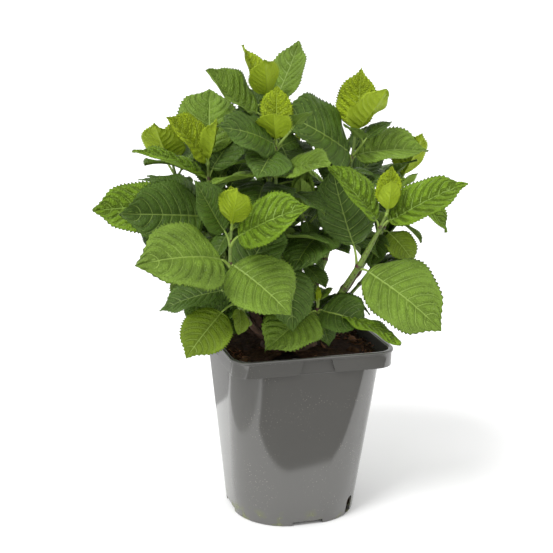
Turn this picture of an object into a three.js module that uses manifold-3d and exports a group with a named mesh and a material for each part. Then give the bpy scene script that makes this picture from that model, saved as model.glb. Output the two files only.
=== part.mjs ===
// A potted hydrangea: leafy shoots from one woody stool, in a 5 litre square-to-round nursery pot.
// Millimetres, +Z up. The origin is the middle of the pot's underside, and the pot's front faces -Y.
import * as THREE from "three";
import { mergeVertices } from "three/addons/utils/BufferGeometryUtils.js";
import Module from "manifold-3d";

const wasm = await Module();
wasm.setup();

// ---- Driving dimensions -----------------------------------------------------------------------------------

const CLEARANCE = 0.3; // between solids that touch

// Nursery pot: square with round corners at the rim, nearly round at the foot.
const POT_HALF = 100;
const POT_HEIGHT = 220;
const RIM_CORNER = 24;
const LIP_HEIGHT = 3.5;
const COLLAR_HEIGHT = 17;
const COLLAR_INSET = 2.5; // the collar hangs this far inside the lip's edge
const BODY_INSET = 7; // and the body stands this far inside it
const BODY_CORNER = 36;
const FOOT_HALF = 76.5;
const FOOT_CORNER = 65;
const WALL = 2;
const FLOOR_RISE = 5; // the floor is raised between its foot ring and its hub
const FLOOR_THICKNESS = 2.5;
const FOOT_RING = 7;
const HUB_RADIUS = 26;
const COLLAR_GAP = 33; // plain stretch in the middle of each side, where the collar stops
const NOTCH_WIDTH = 38; // cut in the foot ring in the middle of each side
const DRAIN_WIDTH = 13; // hole low in each of two opposite corners
const DRAIN_HEIGHT = 18;

// Compost, and the woody stool that the shoots come from.
const SOIL_LEVEL = 204;
const SOIL_LUMP = 3;
const STOOL_X = -8;
const STOOL_Y = -10;
const STOOL_RADIUS = 36;
const STOOL_TOP = SOIL_LEVEL + 14;
const STOOL_DEPTH = 12; // it goes this far into the compost
const FOOT_LEVEL = STOOL_TOP - 5; // the shoots' feet are let into the stool
const FEET_INNER = 6; // how far the tallest shoot stands from the stool's middle
const FEET_OUTER = 30; // and a shoot as low as the compost
const FEET_SPACING = 10.5;

// Shoots: a bough is the bare lower part, and the mass is the leafy upper part.
const STEM_TIP = 1.6; // radius at a shoot's tip, and how much it gains for each millimetre of length
const STEM_TAPER = 1 / 100;
const STALK_RADIUS = 1.7;
const LEAF_THICKNESS = 1.3;
const ROOT_DEPTH = 4; // a stalk starts this far down inside its stem
const BOUGH_SIDES = 6;
const STEM_SIDES = 5;
const BOUGH_MARGIN = 12; // a mass starts this far below its lowest pair of leaves

// The crown's space, round an upright axis. Leaves that follow the rule stay inside it.
const CROWN_X = -5;
const CROWN_Y = 25;
const CROWN_REACH = 190;
const CROWN_MIDDLE = 365; // the height where it is widest
const CROWN_TOP = 535;
const CROWN_FOOT = 200;

// How close things may come. Each leaf is sampled by points on its blade and its stalk.
const LEAF_TO_LEAF = 5; // to the leaves of other shoots
const LEAF_TO_STEM = 4; // to the bark of other shoots
const SAMPLES_ALONG = 17;
const SAMPLES_ACROSS = 11;

// Leaf pairs from a shoot's tip down. Angles in degrees: rise is the blade's climb where it starts, droop its
// bend over its length, fold the lift of each half from the midrib. Lengths in millimetres, breadth a share
// of the length.
const AGES = [
  { length: 46, breadth: 0.72, stalk: 5, rise: 70, droop: -14, fold: 32 },
  { length: 84, breadth: 0.66, stalk: 15, rise: 46, droop: 26, fold: 24 },
  { length: 106, breadth: 0.7, stalk: 25, rise: 14, droop: 48, fold: 14 },
  { length: 112, breadth: 0.72, stalk: 30, rise: -10, droop: 50, fold: 10 },
];

// A leaf placed by hand: the compass heading of its blade, its rise and length, and what else differs from
// its age.
const leaf = (heading, rise, length, more = {}) => ({ heading, rise, length, ...more });

// One row for each shoot: its tip, how steeply it leaves the stool, how far its pairs are below the tip, the
// turn of its first pair, and the leaves that are placed by hand. The other leaves follow the rule.
const SHOOTS = [
  {
    name: "crown", tip: [-32, 20, 503], elbow: [0.9, 0.5], nodes: [0, 24, 62, 104, 150], turn: 135,
    leaves: [
      [leaf(130, 53, 64, { roll: 5 }), leaf(254, 40, 62, { roll: -20 })],
      [
        leaf(35, 50, 92, { droop: -8, fold: 14 }),
        leaf(174, 26, 82, { roll: 24, droop: -30, fold: 26, stalk: 12, breadth: 0.84 }),
      ],
      [
        leaf(192, 3, 62, { roll: 33, droop: 30, fold: 10, stalk: 10, breadth: 0.9 }),
        leaf(2, -7, 69, { roll: -33, droop: 30, fold: 10, stalk: 10 }),
      ],
    ],
  },
  {
    name: "front_top", tip: [-37, -39, 461], elbow: [1, 0.5], nodes: [0, 9, 38, 80, 126], turn: 262,
    leaves: [
      [
        leaf(73, 66, 50, { breadth: 0.78, fold: 20, stalk: 14 }),
        leaf(249, 34, 52, { fold: 24, droop: -14, breadth: 0.86 }),
      ],
      [
        leaf(214, 30, 85, { roll: 51, droop: 30, fold: 10, stalk: 6 }),
        leaf(240, -10, 61, { roll: 24, droop: 30, fold: 10, stalk: 6, breadth: 0.95 }),
      ],
      [
        leaf(296, 23, 78, { roll: -28, droop: 22, stalk: 8 }),
        leaf(185, 1, 78, { roll: -6, droop: 16, fold: 10, stalk: 8 }),
      ],
      [leaf(217, -67, 51, { roll: -6, droop: 20, fold: 10 }), leaf(72, -5, 60, { droop: 30 })],
    ],
  },
  {
    name: "right_top", tip: [72, -3, 463], elbow: [0.9, 0.6], nodes: [0, 30, 72, 112, 156], turn: 40,
    leaves: [
      [
        leaf(40, 76, 72, { fold: 18, breadth: 0.8 }),
        leaf(300, 46, 66, { roll: 5, fold: 22, droop: -10, breadth: 0.98 }),
      ],
      [
        leaf(203, 36, 114, { roll: 58, fold: 14, droop: 20, stalk: 6, breadth: 0.8 }),
        leaf(342, 18, 92, { roll: -36, droop: 33, stalk: 4 }),
      ],
      [
        leaf(121, 57, 61, { roll: 21, droop: 20, fold: 10, stalk: 14 }),
        leaf(321, 28, 42, { roll: -42, droop: 20, fold: 10, stalk: 10 }),
      ],
      [leaf(225, -10, 90, { droop: 24 }), leaf(60, -10, 95, { droop: 24 })],
    ],
  },
  {
    name: "right_front", tip: [79, -95, 385], elbow: [0.62, 0.45], nodes: [0, 20, 76], turn: 262,
    leaves: [
      [leaf(54, 68, 49), leaf(257, 52, 41, { droop: -25, fold: 30 })],
      [
        leaf(163, 55, 84, { roll: 31, droop: 20, stalk: 9 }),
        leaf(330, 38, 100, { roll: -34, fold: 12, stalk: 12 }),
      ],
      [
        leaf(111, 61, 98, { roll: 9, droop: -8, fold: 8, breadth: 0.76, stalk: 25 }),
        leaf(311, -21, 111, { roll: -36, droop: 36, fold: 8, breadth: 0.82, stalk: 12 }),
      ],
    ],
  },
  {
    name: "front_left", tip: [-102, -92, 377], elbow: [1.2, 0.35], nodes: [0, 18, 42, 76, 88], turn: 262,
    leaves: [
      [leaf(261, 42, 60, { roll: 15 }), leaf(82, 65, 40)],
      [
        leaf(186, 55, 71, { roll: 60, fold: 20, droop: -10, breadth: 0.8 }),
        leaf(317, 33, 91, { roll: -48, fold: 16, droop: 20, stalk: 12, breadth: 0.76 }),
      ],
      [
        leaf(222, 17, 120, { roll: 55, fold: 10, droop: 38, stalk: 20 }),
        leaf(312, -24, 87, { roll: -24, fold: 10, droop: 20, stalk: 3, breadth: 0.98 }),
      ],
      [
        leaf(17, 54, 84, { roll: -27, droop: 16, fold: 8, stalk: 16 }),
        leaf(175, -2, 74, { roll: 16, fold: 10, droop: 34, stalk: 14 }),
      ],
      [
        leaf(218, -24, 70, { roll: 21, fold: 8, droop: 26, stalk: 28, breadth: 0.8 }),
        leaf(266, -34, 32, { roll: 33, fold: 14, droop: 36, stalk: 16 }),
      ],
    ],
  },
  {
    name: "left_top", tip: [-108, -6, 434], elbow: [1, 0.45], nodes: [0, 19, 66, 106, 150], turn: 181,
    leaves: [
      [leaf(207, 47, 74, { roll: 58, droop: 10, fold: 22, breadth: 0.8 }), leaf(299, 67, 49, { fold: 40 })],
      [
        leaf(183, 21, 93, { roll: 15, fold: 30, droop: 0, stalk: 3, breadth: 0.56 }),
        leaf(75, 57, 93, { fold: 14, droop: 18, stalk: 29, breadth: 0.84 }),
      ],
      [
        leaf(206, 10, 106, { roll: 75, droop: 27, breadth: 0.76, stalk: 15 }),
        leaf(28, 8, 72, { roll: -60, fold: 10, droop: 30, stalk: 15 }),
      ],
    ],
  },
  {
    name: "left_back", tip: [-127, 102, 418], nodes: [0, 22, 64, 104], turn: 215,
    leaves: [
      [leaf(232, 42, 64, { roll: -5, fold: 12, breadth: 0.86 }), leaf(60, 60, 50)],
      [
        leaf(278, -2, 30, { roll: -45, droop: 20, fold: 10, stalk: 14 }),
        leaf(135, -26, 35, { roll: 87, droop: 20, fold: 10, stalk: 14 }),
      ],
      [leaf(180, 6, 104, { roll: 50, droop: 20, stalk: 15 })],
    ],
  },
  {
    name: "right_back", tip: [144, 19, 403], nodes: [0, 24, 66], turn: 300,
    leaves: [
      [leaf(284, 55, 63, { roll: 20 }), leaf(90, 64, 50)],
      [leaf(318, -12, 66, { roll: -21, droop: 60 })],
      [
        leaf(301, -35, 50, { roll: -21, droop: 10, fold: 10, stalk: 10, breadth: 0.9 }),
        leaf(219, -48, 45, { roll: -6, droop: 20, fold: 10, stalk: 10, breadth: 0.9 }),
      ],
    ],
  },
  {
    name: "low_right", tip: [12, -58, 272], nodes: [0, 8], turn: 174,
    leaves: [
      [leaf(174, 50, 45, { roll: 30 }), leaf(60, 20, 40, { droop: 30 })],
      [
        leaf(215, -8, 84, { roll: 27, fold: 8, droop: 36, stalk: 8, breadth: 0.8 }),
        leaf(310, 3, 58, { roll: -33, fold: 12, droop: 36, stalk: 6, breadth: 1 }),
        leaf(312, -11, 79, { roll: 6, fold: 14, droop: 10, stalk: 34, breadth: 0.6 }),
        leaf(289, -50, 40, { droop: 20, fold: 10, stalk: 6, breadth: 0.8 }),
      ],
    ],
  },
  {
    name: "middle", tip: [2, -22, 372], nodes: [0, 22, 58, 96], turn: 60,
    leaves: [
      [],
      [leaf(225, -46, 50, { roll: -21, droop: 40, fold: 12, breadth: 0.8, stalk: 8 })],
      [leaf(293, -18, 43, { roll: 6, droop: 20, fold: 12, stalk: 8 })],
    ],
  },
  { name: "back_top", tip: [25, 95, 405], nodes: [0, 22, 60, 100, 140], turn: 20, leaves: [] },
  { name: "back_right", tip: [100, 115, 365], nodes: [0, 22, 60], turn: 60, leaves: [] },
  { name: "back_left", tip: [-52, 140, 385], nodes: [0, 22, 60, 100, 140], turn: 100, leaves: [] },
  { name: "right_low", tip: [140, 62, 305], nodes: [0, 22, 60, 100], turn: 330, leaves: [] },
  { name: "back_low", tip: [30, 160, 315], nodes: [0, 22, 60, 100], turn: 70, leaves: [] },
  { name: "left_low", tip: [-140, 52, 300], nodes: [0, 22, 60, 100], turn: 200, leaves: [] },
  { name: "back_corner", tip: [-95, 150, 290], nodes: [0, 22, 60, 100], turn: 30, leaves: [] },
  {
    name: "right_middle", tip: [78, 62, 400], nodes: [0, 22, 60], turn: 10,
    leaves: [
      [],
      [
        leaf(343, 42, 69, { roll: -27, droop: 0, fold: 12, stalk: 12, breadth: 0.9 }),
        leaf(163, 63, 48, { roll: 36, droop: 0, fold: 12, stalk: 12, breadth: 0.9 }),
      ],
    ],
  },
  {
    name: "left_middle", tip: [-72, 62, 400], nodes: [0, 22, 60, 100], turn: 140,
    leaves: [
      [],
      [
        leaf(191, 51, 66, { roll: 63, droop: 0, fold: 12, stalk: 12 }),
        leaf(4, 61, 62, { roll: -24, droop: 0, fold: 12, stalk: 12, breadth: 0.9 }),
      ],
    ],
  },
  { name: "back_middle", tip: [2, 154, 352], nodes: [0, 22, 60, 100], turn: 0, leaves: [] },
];
const USUAL_ELBOW = [0.8, 0.5]; // where a shoot turns upward, as shares of the way out and the way up

const COLOURS = {
  pot: 0x6f6e6c,
  compost: 0x2b1a12,
  wood: 0x4a3324,
  stem: 0x6d7a2c,
  leaves: [0x4f8a2b, 0x5b962f, 0x3d7428, 0x66a036],
};

// ---- Helpers ----------------------------------------------------------------------------------------------

const rad = THREE.MathUtils.degToRad;
const mix = THREE.MathUtils.lerp;

// The direction of a compass heading (degrees from +X towards +Y) and a rise above the level.
function direction(heading, rise) {
  const level = Math.cos(rad(rise));
  const [east, north] = [Math.cos(rad(heading)), Math.sin(rad(heading))];
  return new THREE.Vector3(level * east, level * north, Math.sin(rad(rise)));
}

// A seeded source of numbers from 0 to 1.
function seeded(seed) {
  let state = seed;
  return () => {
    state = (state * 16807) % 2147483647;
    return state / 2147483647;
  };
}

// Moves every vertex of a three.js shape.
function reshaped(geometry, place) {
  const position = geometry.attributes.position;
  for (let i = 0; i < position.count; i++) {
    const moved = place(position.getX(i), position.getY(i), position.getZ(i));
    position.setXYZ(i, moved.x, moved.y, moved.z);
  }
  return geometry;
}

function solidOf(geometry) {
  const bare = geometry.clone();
  bare.deleteAttribute("normal");
  bare.deleteAttribute("uv");
  const merged = mergeVertices(bare, 1e-3);
  const corners = merged.index.array;
  const triVerts = [];
  for (let i = 0; i < corners.length; i += 3) {
    const [a, b, c] = corners.slice(i, i + 3);
    if (a !== b && b !== c && c !== a) triVerts.push(a, b, c);
  }
  const vertProperties = new Float32Array(merged.attributes.position.array);
  const mesh = new wasm.Mesh({ numProp: 3, vertProperties, triVerts: new Uint32Array(triVerts) });
  return new wasm.Manifold(mesh);
}

function geometryOf(solid) {
  const { vertProperties, triVerts } = solid.getMesh();
  const geometry = new THREE.BufferGeometry();
  geometry.setAttribute("position", new THREE.BufferAttribute(new Float32Array(vertProperties), 3));
  geometry.setIndex(new THREE.BufferAttribute(new Uint32Array(triVerts), 1));
  return geometry;
}

// Keeps the largest piece of a solid, so that loose scraps go and sealed hollows are filled.
function largestPiece(solid) {
  const pieces = solidOf(geometryOf(solid)).decompose();
  pieces.sort((one, other) => other.volume() - one.volume());
  return pieces[0];
}

function meshOf(name, solid, colour, roughness) {
  const geometry = geometryOf(largestPiece(solid));
  geometry.computeVertexNormals();
  const material = new THREE.MeshStandardMaterial({ color: colour, roughness, metalness: 0 });
  const mesh = new THREE.Mesh(geometry, material);
  mesh.name = name;
  return mesh;
}

// The stretch of a quadratic curve between two of its parameters.
function stretch(curve, from, to) {
  const { v0, v1, v2 } = curve;
  const elbow = v0.clone().multiplyScalar((1 - from) * (1 - to));
  elbow.addScaledVector(v1, from + to - 2 * from * to).addScaledVector(v2, from * to);
  return new THREE.QuadraticBezierCurve3(curve.getPoint(from), elbow, curve.getPoint(to));
}

// A closed tube along a quadratic curve. The radius is a function of the share of the way along.
function tube(curve, radius, sides, steps) {
  const chord = curve.v2.clone().sub(curve.v0);
  const side = new THREE.Vector3().crossVectors(curve.v1.clone().sub(curve.v0), chord);
  if (side.length() < 1e-3 * chord.lengthSq()) side.crossVectors(chord, new THREE.Vector3(0.3, 0.9, 0.1));
  side.normalize();
  return reshaped(new THREE.CylinderGeometry(1, 1, 1, sides, steps), (x, y, z) => {
    const share = Math.round((y + 0.5) * steps) / steps;
    const front = new THREE.Vector3().crossVectors(curve.getTangent(share), side);
    const size = radius(share);
    return curve.getPoint(share).addScaledVector(side, z * size).addScaledVector(front, x * size);
  });
}

// ---- Pot --------------------------------------------------------------------------------------------------

// A closed loft through squares with round corners, each { z, half, corner }, from the bottom up.
function roundedLoft(sections, around = 32) {
  const perCorner = around / 4;
  return reshaped(new THREE.CylinderGeometry(1, 1, 1, around, sections.length - 1), (x, y, z) => {
    const { z: height, half, corner } = sections[Math.round((y + 0.5) * (sections.length - 1))];
    if (Math.hypot(x, z) < 0.5) return new THREE.Vector3(0, 0, height);
    const step = Math.round((Math.atan2(x, z) / (2 * Math.PI) + 1) * around) % around;
    const quarter = Math.floor(step / perCorner);
    const turn = (Math.PI / 2) * (quarter + (step % perCorner) / (perCorner - 1));
    const flat = half - corner;
    const across = (quarter === 0 || quarter === 3 ? flat : -flat) + corner * Math.cos(turn);
    const back = (quarter < 2 ? flat : -flat) + corner * Math.sin(turn);
    return new THREE.Vector3(across, back, height);
  });
}

// The pot wall's section at a height, set in by an amount.
function bodySection(z, inset = 0) {
  const share = z / (POT_HEIGHT - LIP_HEIGHT);
  return {
    z,
    half: mix(FOOT_HALF, POT_HALF - BODY_INSET, share) - inset,
    corner: mix(FOOT_CORNER, BODY_CORNER, share) - inset,
  };
}

function rimSection(z, inset) {
  return { z, half: POT_HALF - inset, corner: RIM_CORNER - inset / 2 };
}

// A block in the middle of each of the four sides.
function fourSides(width, depth, height, reach, z) {
  let all = null;
  for (const turn of [0, 90, 180, 270]) {
    const block = new THREE.BoxGeometry(width, depth, height).translate(0, -reach, z).rotateZ(rad(turn));
    all = all ? all.add(solidOf(block)) : solidOf(block);
  }
  return all;
}

function collar() {
  const top = POT_HEIGHT - LIP_HEIGHT + 0.5; // sunk into the lip
  const bottom = POT_HEIGHT - LIP_HEIGHT - COLLAR_HEIGHT;
  const inset = COLLAR_INSET + WALL;
  const outside = roundedLoft([rimSection(bottom, COLLAR_INSET), rimSection(top, COLLAR_INSET)]);
  const inside = roundedLoft([rimSection(bottom - 1, inset), rimSection(top - 1, inset)]);
  const gaps = fourSides(COLLAR_GAP, 20, COLLAR_HEIGHT + 1, POT_HALF, bottom + COLLAR_HEIGHT / 2 - 0.5);
  return solidOf(outside).subtract(solidOf(inside)).subtract(gaps);
}

function pot() {
  const underLip = POT_HEIGHT - LIP_HEIGHT;
  const floor = FLOOR_RISE + FLOOR_THICKNESS;
  const body = solidOf(roundedLoft([bodySection(0), bodySection(underLip)]));
  const lip = solidOf(roundedLoft([rimSection(underLip, 0), rimSection(POT_HEIGHT, 0)]));
  const inside = solidOf(roundedLoft([bodySection(floor, WALL), bodySection(POT_HEIGHT + 1, WALL)]));
  const under = solidOf(roundedLoft([bodySection(-1, FOOT_RING), bodySection(FLOOR_RISE, FOOT_RING)]));
  const hub = new THREE.CylinderGeometry(HUB_RADIUS, HUB_RADIUS, FLOOR_RISE + 1, 24).rotateX(rad(90));
  hub.translate(0, 0, (FLOOR_RISE + 1) / 2);
  let solid = body.add(lip).add(collar()).subtract(inside).subtract(under).add(solidOf(hub));
  solid = solid.subtract(fourSides(NOTCH_WIDTH, FOOT_RING * 4, 2 * FLOOR_RISE, FOOT_HALF, 0));
  for (const turn of [135, 315]) {
    const hole = new THREE.BoxGeometry(30, DRAIN_WIDTH, DRAIN_HEIGHT);
    hole.translate(FOOT_HALF, 0, FLOOR_RISE + DRAIN_HEIGHT / 2).rotateZ(rad(turn));
    solid = solid.subtract(solidOf(hole));
  }
  return solid;
}

// ---- Compost and stool ------------------------------------------------------------------------------------

function lumps(x, y) {
  return SOIL_LUMP * (Math.sin(x * 0.11 + 1) * Math.cos(y * 0.09) + 0.6 * Math.sin(x * 0.05 - y * 0.21));
}

function compost() {
  const gap = WALL + CLEARANCE;
  const bottom = FLOOR_RISE + FLOOR_THICKNESS + CLEARANCE;
  const edge = bodySection(SOIL_LEVEL, gap);
  const rings = [0.92, 0.72, 0.48, 0.24].map((share) => ({
    z: SOIL_LEVEL, half: edge.half * share, corner: edge.corner * share,
  }));
  const shape = roundedLoft([bodySection(bottom, gap), bodySection(SOIL_LEVEL - 4, gap), ...rings]);
  return solidOf(reshaped(shape, (x, y, z) => new THREE.Vector3(x, y, z < SOIL_LEVEL ? z : z + lumps(x, y))));
}

function stool(spare = 0) {
  const bottom = SOIL_LEVEL - STOOL_DEPTH - spare;
  const profile = [
    new THREE.Vector2(0, bottom),
    new THREE.Vector2(STOOL_RADIUS * 0.7 + spare, bottom),
    new THREE.Vector2(STOOL_RADIUS + 1.5 * spare, SOIL_LEVEL - 2),
    new THREE.Vector2(STOOL_RADIUS * 0.95 + 1.5 * spare, STOOL_TOP - 4),
    new THREE.Vector2(STOOL_RADIUS * 0.7, STOOL_TOP + spare),
    new THREE.Vector2(0, STOOL_TOP + spare),
  ];
  return new THREE.LatheGeometry(profile, 14).rotateX(rad(90)).translate(STOOL_X, STOOL_Y, 0);
}

// ---- Shoots -----------------------------------------------------------------------------------------------

// Pushes feet apart until none stands closer to another than the spacing.
function spreadFeet(feet) {
  for (let pass = 0; pass < 60; pass++) {
    for (let i = 0; i < feet.length; i++) {
      for (let j = i + 1; j < feet.length; j++) {
        const apart = feet[j].clone().sub(feet[i]);
        const short = FEET_SPACING - apart.length();
        if (short <= 0) continue;
        apart.setLength(short / 2);
        feet[j].add(apart);
        feet[i].sub(apart);
      }
    }
  }
}

// The curve of each shoot, from its foot in the stool to its tip.
function growShoots() {
  const shoots = SHOOTS.map((row) => {
    const tip = new THREE.Vector3(...row.tip);
    const compass = THREE.MathUtils.radToDeg(Math.atan2(tip.y - STOOL_Y, tip.x - STOOL_X));
    return { ...row, tip, compass: (compass + 360) % 360 };
  });
  const tallest = Math.max(...shoots.map((shoot) => shoot.tip.z));
  const middle = new THREE.Vector3(STOOL_X, STOOL_Y, FOOT_LEVEL);
  for (const shoot of shoots) {
    const ring = mix(FEET_INNER, FEET_OUTER, (tallest - shoot.tip.z) / (tallest - SOIL_LEVEL));
    shoot.foot = direction(shoot.compass, 0).multiplyScalar(ring).add(middle);
  }
  spreadFeet(shoots.map((shoot) => shoot.foot));
  for (const shoot of shoots) {
    const [out, up] = shoot.elbow ?? USUAL_ELBOW;
    const elbow = shoot.foot.clone().lerp(shoot.tip, out);
    elbow.z = mix(shoot.foot.z, shoot.tip.z, up);
    shoot.curve = new THREE.QuadraticBezierCurve3(shoot.foot, elbow, shoot.tip);
    shoot.long = shoot.curve.getLength();
    shoot.split = 1 - (shoot.nodes.at(-1) + BOUGH_MARGIN) / shoot.long;
    shoot.points = shoot.curve.getSpacedPoints(Math.ceil(shoot.long / 4));
  }
  return shoots;
}

const stemRadius = (shoot, share) => STEM_TIP + STEM_TAPER * shoot.long * (1 - share);

// ---- Leaves -----------------------------------------------------------------------------------------------

// Half the blade's breadth as a share of the widest, from its base to its drawn-out tip.
function outline(s) {
  return 2.6 * s ** 0.6 * (1 - s) ** 0.8 * (1 - 0.45 * s ** 14);
}

// A point of the blade: s runs from base to tip, across from -1 at one margin to 1 at the other.
function bladePoint(blade, s, across, lift = 0) {
  const { base, along, normal, side, length, breadth, droop, fold } = blade;
  const bend = droop * s;
  const forward = Math.abs(droop) < 1e-3 ? s : Math.sin(bend) / droop;
  const down = Math.abs(droop) < 1e-3 ? 0 : (1 - Math.cos(bend)) / droop;
  const half = 0.5 * length * breadth * outline(s) * across;
  const up = normal.clone().multiplyScalar(Math.cos(bend)).addScaledVector(along, Math.sin(bend));
  const point = base.clone().addScaledVector(along, length * forward).addScaledVector(normal, -length * down);
  point.addScaledVector(side, half * Math.cos(fold));
  return point.addScaledVector(up, Math.abs(half) * Math.sin(fold) + lift);
}

// Sets a leaf on its shoot: turned, raised and shrunk by a try.
function setLeaf(shoot, pair, wanted, change) {
  const age = AGES[Math.min(pair, AGES.length - 1)];
  const spec = { roll: 0, ...age, ...wanted };
  const heading = spec.heading + change.turn;
  const rise = spec.rise + change.raise;
  const share = 1 - shoot.nodes[pair] / shoot.long;
  const node = shoot.curve.getPointAt(share);
  const root = shoot.curve.getPointAt(share - ROOT_DEPTH / shoot.long);
  const along = direction(heading, rise);
  const flatNormal = direction(heading + 180, 90 - rise);
  const flatSide = new THREE.Vector3().crossVectors(flatNormal, along);
  const roll = rad(spec.roll);
  const normal = flatNormal.clone().multiplyScalar(Math.cos(roll)).addScaledVector(flatSide, Math.sin(roll));
  const knee = node.clone().addScaledVector(direction(heading, Math.min(85, rise + 14)), spec.stalk * 0.55);
  const base = knee.clone().addScaledVector(along, spec.stalk * 0.45);
  const blade = {
    base, along, normal,
    side: new THREE.Vector3().crossVectors(normal, along),
    length: spec.length * change.grow,
    breadth: spec.breadth,
    droop: rad(spec.droop),
    fold: rad(spec.fold),
  };
  blade.stalk = new THREE.QuadraticBezierCurve3(root, knee, base);
  blade.samples = blade.stalk.getPoints(8).slice(2);
  for (let i = 1; i <= SAMPLES_ALONG; i++) {
    for (let j = 0; j < SAMPLES_ACROSS; j++) {
      blade.samples.push(bladePoint(blade, i / SAMPLES_ALONG, (2 * j) / (SAMPLES_ACROSS - 1) - 1));
    }
  }
  return blade;
}

// Small moves that a leaf tries, in this order, until it is clear of everything else.
const TRIES = [
  { turn: 0, raise: 0, grow: 1 },
  { turn: 8, raise: 0, grow: 1 },
  { turn: -8, raise: 0, grow: 1 },
  { turn: 0, raise: 8, grow: 1 },
  { turn: 0, raise: -8, grow: 1 },
  { turn: 15, raise: 8, grow: 0.95 },
  { turn: -15, raise: 8, grow: 0.95 },
  { turn: 15, raise: -10, grow: 0.9 },
  { turn: -15, raise: -10, grow: 0.9 },
  { turn: 26, raise: 0, grow: 0.85 },
  { turn: -26, raise: 0, grow: 0.85 },
  { turn: 0, raise: 18, grow: 0.8 },
  { turn: 0, raise: -22, grow: 0.8 },
  { turn: 36, raise: 10, grow: 0.75 },
  { turn: -36, raise: 10, grow: 0.75 },
  { turn: 50, raise: -10, grow: 0.7 },
  { turn: -50, raise: -10, grow: 0.7 },
  { turn: 60, raise: 20, grow: 0.65 },
  { turn: -60, raise: 20, grow: 0.65 },
];

// The crown's reach from its axis at a height.
function crownReach(z) {
  const span = z > CROWN_MIDDLE ? CROWN_TOP - CROWN_MIDDLE : CROWN_MIDDLE - CROWN_FOOT;
  const share = (z - CROWN_MIDDLE) / span;
  return CROWN_REACH * Math.sqrt(Math.max(0, 1 - share ** 2));
}

function insideCrown(point) {
  return Math.hypot(point.x - CROWN_X, point.y - CROWN_Y) < crownReach(point.z);
}

function clearOfPot(point) {
  const reach = Math.max(Math.abs(point.x), Math.abs(point.y));
  if (reach < POT_HALF - BODY_INSET - 5) return point.z > SOIL_LEVEL + 8;
  return reach > POT_HALF + 4 || point.z > POT_HEIGHT + 4;
}

function clearOfStems(blade, shoot, shoots) {
  for (const other of shoots) {
    const last = other === shoot ? Math.floor(other.split * other.points.length) : other.points.length;
    for (let i = 0; i < last; i++) {
      const reach = LEAF_TO_STEM + stemRadius(other, i / other.points.length);
      if (blade.samples.some((point) => point.distanceTo(other.points[i]) < reach)) return false;
    }
  }
  return true;
}

function clearOfLeaves(blade, shoot, shoots) {
  const centre = blade.samples[Math.floor(blade.samples.length / 2)];
  for (const other of shoots) {
    if (other === shoot) continue;
    for (const leafy of other.blades) {
      if (centre.distanceTo(leafy.samples[Math.floor(leafy.samples.length / 2)]) > 220) continue;
      for (const point of blade.samples) {
        if (leafy.samples.some((there) => point.distanceToSquared(there) < LEAF_TO_LEAF ** 2)) return false;
      }
    }
  }
  return true;
}

// Adds a leaf to its shoot by the first try that is clear of everything, or leaves it out.
function place(shoot, pair, wanted, shoots, byRule) {
  for (const change of TRIES) {
    const blade = setLeaf(shoot, pair, wanted, change);
    if (byRule && !blade.samples.every(insideCrown)) continue;
    if (!blade.samples.every(clearOfPot)) continue;
    if (!clearOfStems(blade, shoot, shoots)) continue;
    if (!clearOfLeaves(blade, shoot, shoots)) continue;
    shoot.blades.push(blade);
    return;
  }
}

// Leaves set by hand go first, and then each pair that the rule fills.
function growLeaves(shoots) {
  const random = seeded(5);
  shoots.forEach((shoot) => (shoot.blades = []));
  for (const shoot of shoots) {
    shoot.leaves.forEach((pair, k) => pair.forEach((wanted) => place(shoot, k, wanted, shoots, false)));
  }
  const mostPairs = Math.max(...shoots.map((shoot) => shoot.nodes.length));
  for (let k = 0; k < mostPairs; k++) {
    for (const shoot of shoots.filter((each) => each.nodes.length > k)) {
      const age = AGES[Math.min(k, AGES.length - 1)];
      for (let j = (shoot.leaves[k] ?? []).length; j < 2; j++) {
        const heading = shoot.turn + 90 * k + 180 * j + 24 * (random() - 0.5);
        const rise = age.rise + 14 * (random() - 0.5);
        const length = age.length * (0.88 + 0.24 * random());
        place(shoot, k, { heading, rise, length }, shoots, true);
      }
    }
  }
}

// ---- Solids of a shoot ------------------------------------------------------------------------------------

const STALK_RINGS = [0, 0.02, 0.6]; // shares of the stalk
const BLADE_RINGS = [0.04, 0.25, 0.62, 1]; // and of the blade

// A leaf is one closed skin with four points to a ring: two margins, and a middle above and below.
function leafSolid(blade) {
  const last = STALK_RINGS.length + BLADE_RINGS.length - 1;
  const skin = reshaped(new THREE.SphereGeometry(1, 4, last), (x, y, z) => {
    const ring = Math.round((Math.acos(y) / Math.PI) * last);
    const size = Math.sqrt(Math.max(0, 1 - y * y)) || 1;
    const across = Math.round(x / size);
    const lift = Math.round(z / size);
    if (ring >= STALK_RINGS.length) {
      return bladePoint(blade, BLADE_RINGS[ring - STALK_RINGS.length], across, (lift * LEAF_THICKNESS) / 2);
    }
    const share = STALK_RINGS[ring];
    const up = new THREE.Vector3().crossVectors(blade.stalk.getTangent(share), blade.side).normalize();
    const point = blade.stalk.getPoint(share).addScaledVector(up, lift * STALK_RADIUS);
    return point.addScaledVector(blade.side, across * STALK_RADIUS);
  });
  return solidOf(skin);
}

function massSolid(shoot) {
  const start = shoot.split + CLEARANCE / shoot.long;
  const from = shoot.curve.getUtoTmapping(start);
  const radius = (share) => stemRadius(shoot, mix(start, 1, share));
  let solid = solidOf(tube(stretch(shoot.curve, from, 1), radius, STEM_SIDES, 4));
  for (const blade of shoot.blades) solid = solid.add(leafSolid(blade));
  return solid;
}

function boughSolid(shoot, spare = 0) {
  const to = shoot.curve.getUtoTmapping(shoot.split);
  const radius = (share) => stemRadius(shoot, mix(0, shoot.split, share)) + spare;
  return solidOf(tube(stretch(shoot.curve, 0, to), radius, BOUGH_SIDES, 5));
}

// ---- Scene ------------------------------------------------------------------------------------------------

const plant = new THREE.Group();
const shoots = growShoots();
growLeaves(shoots);

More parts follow.
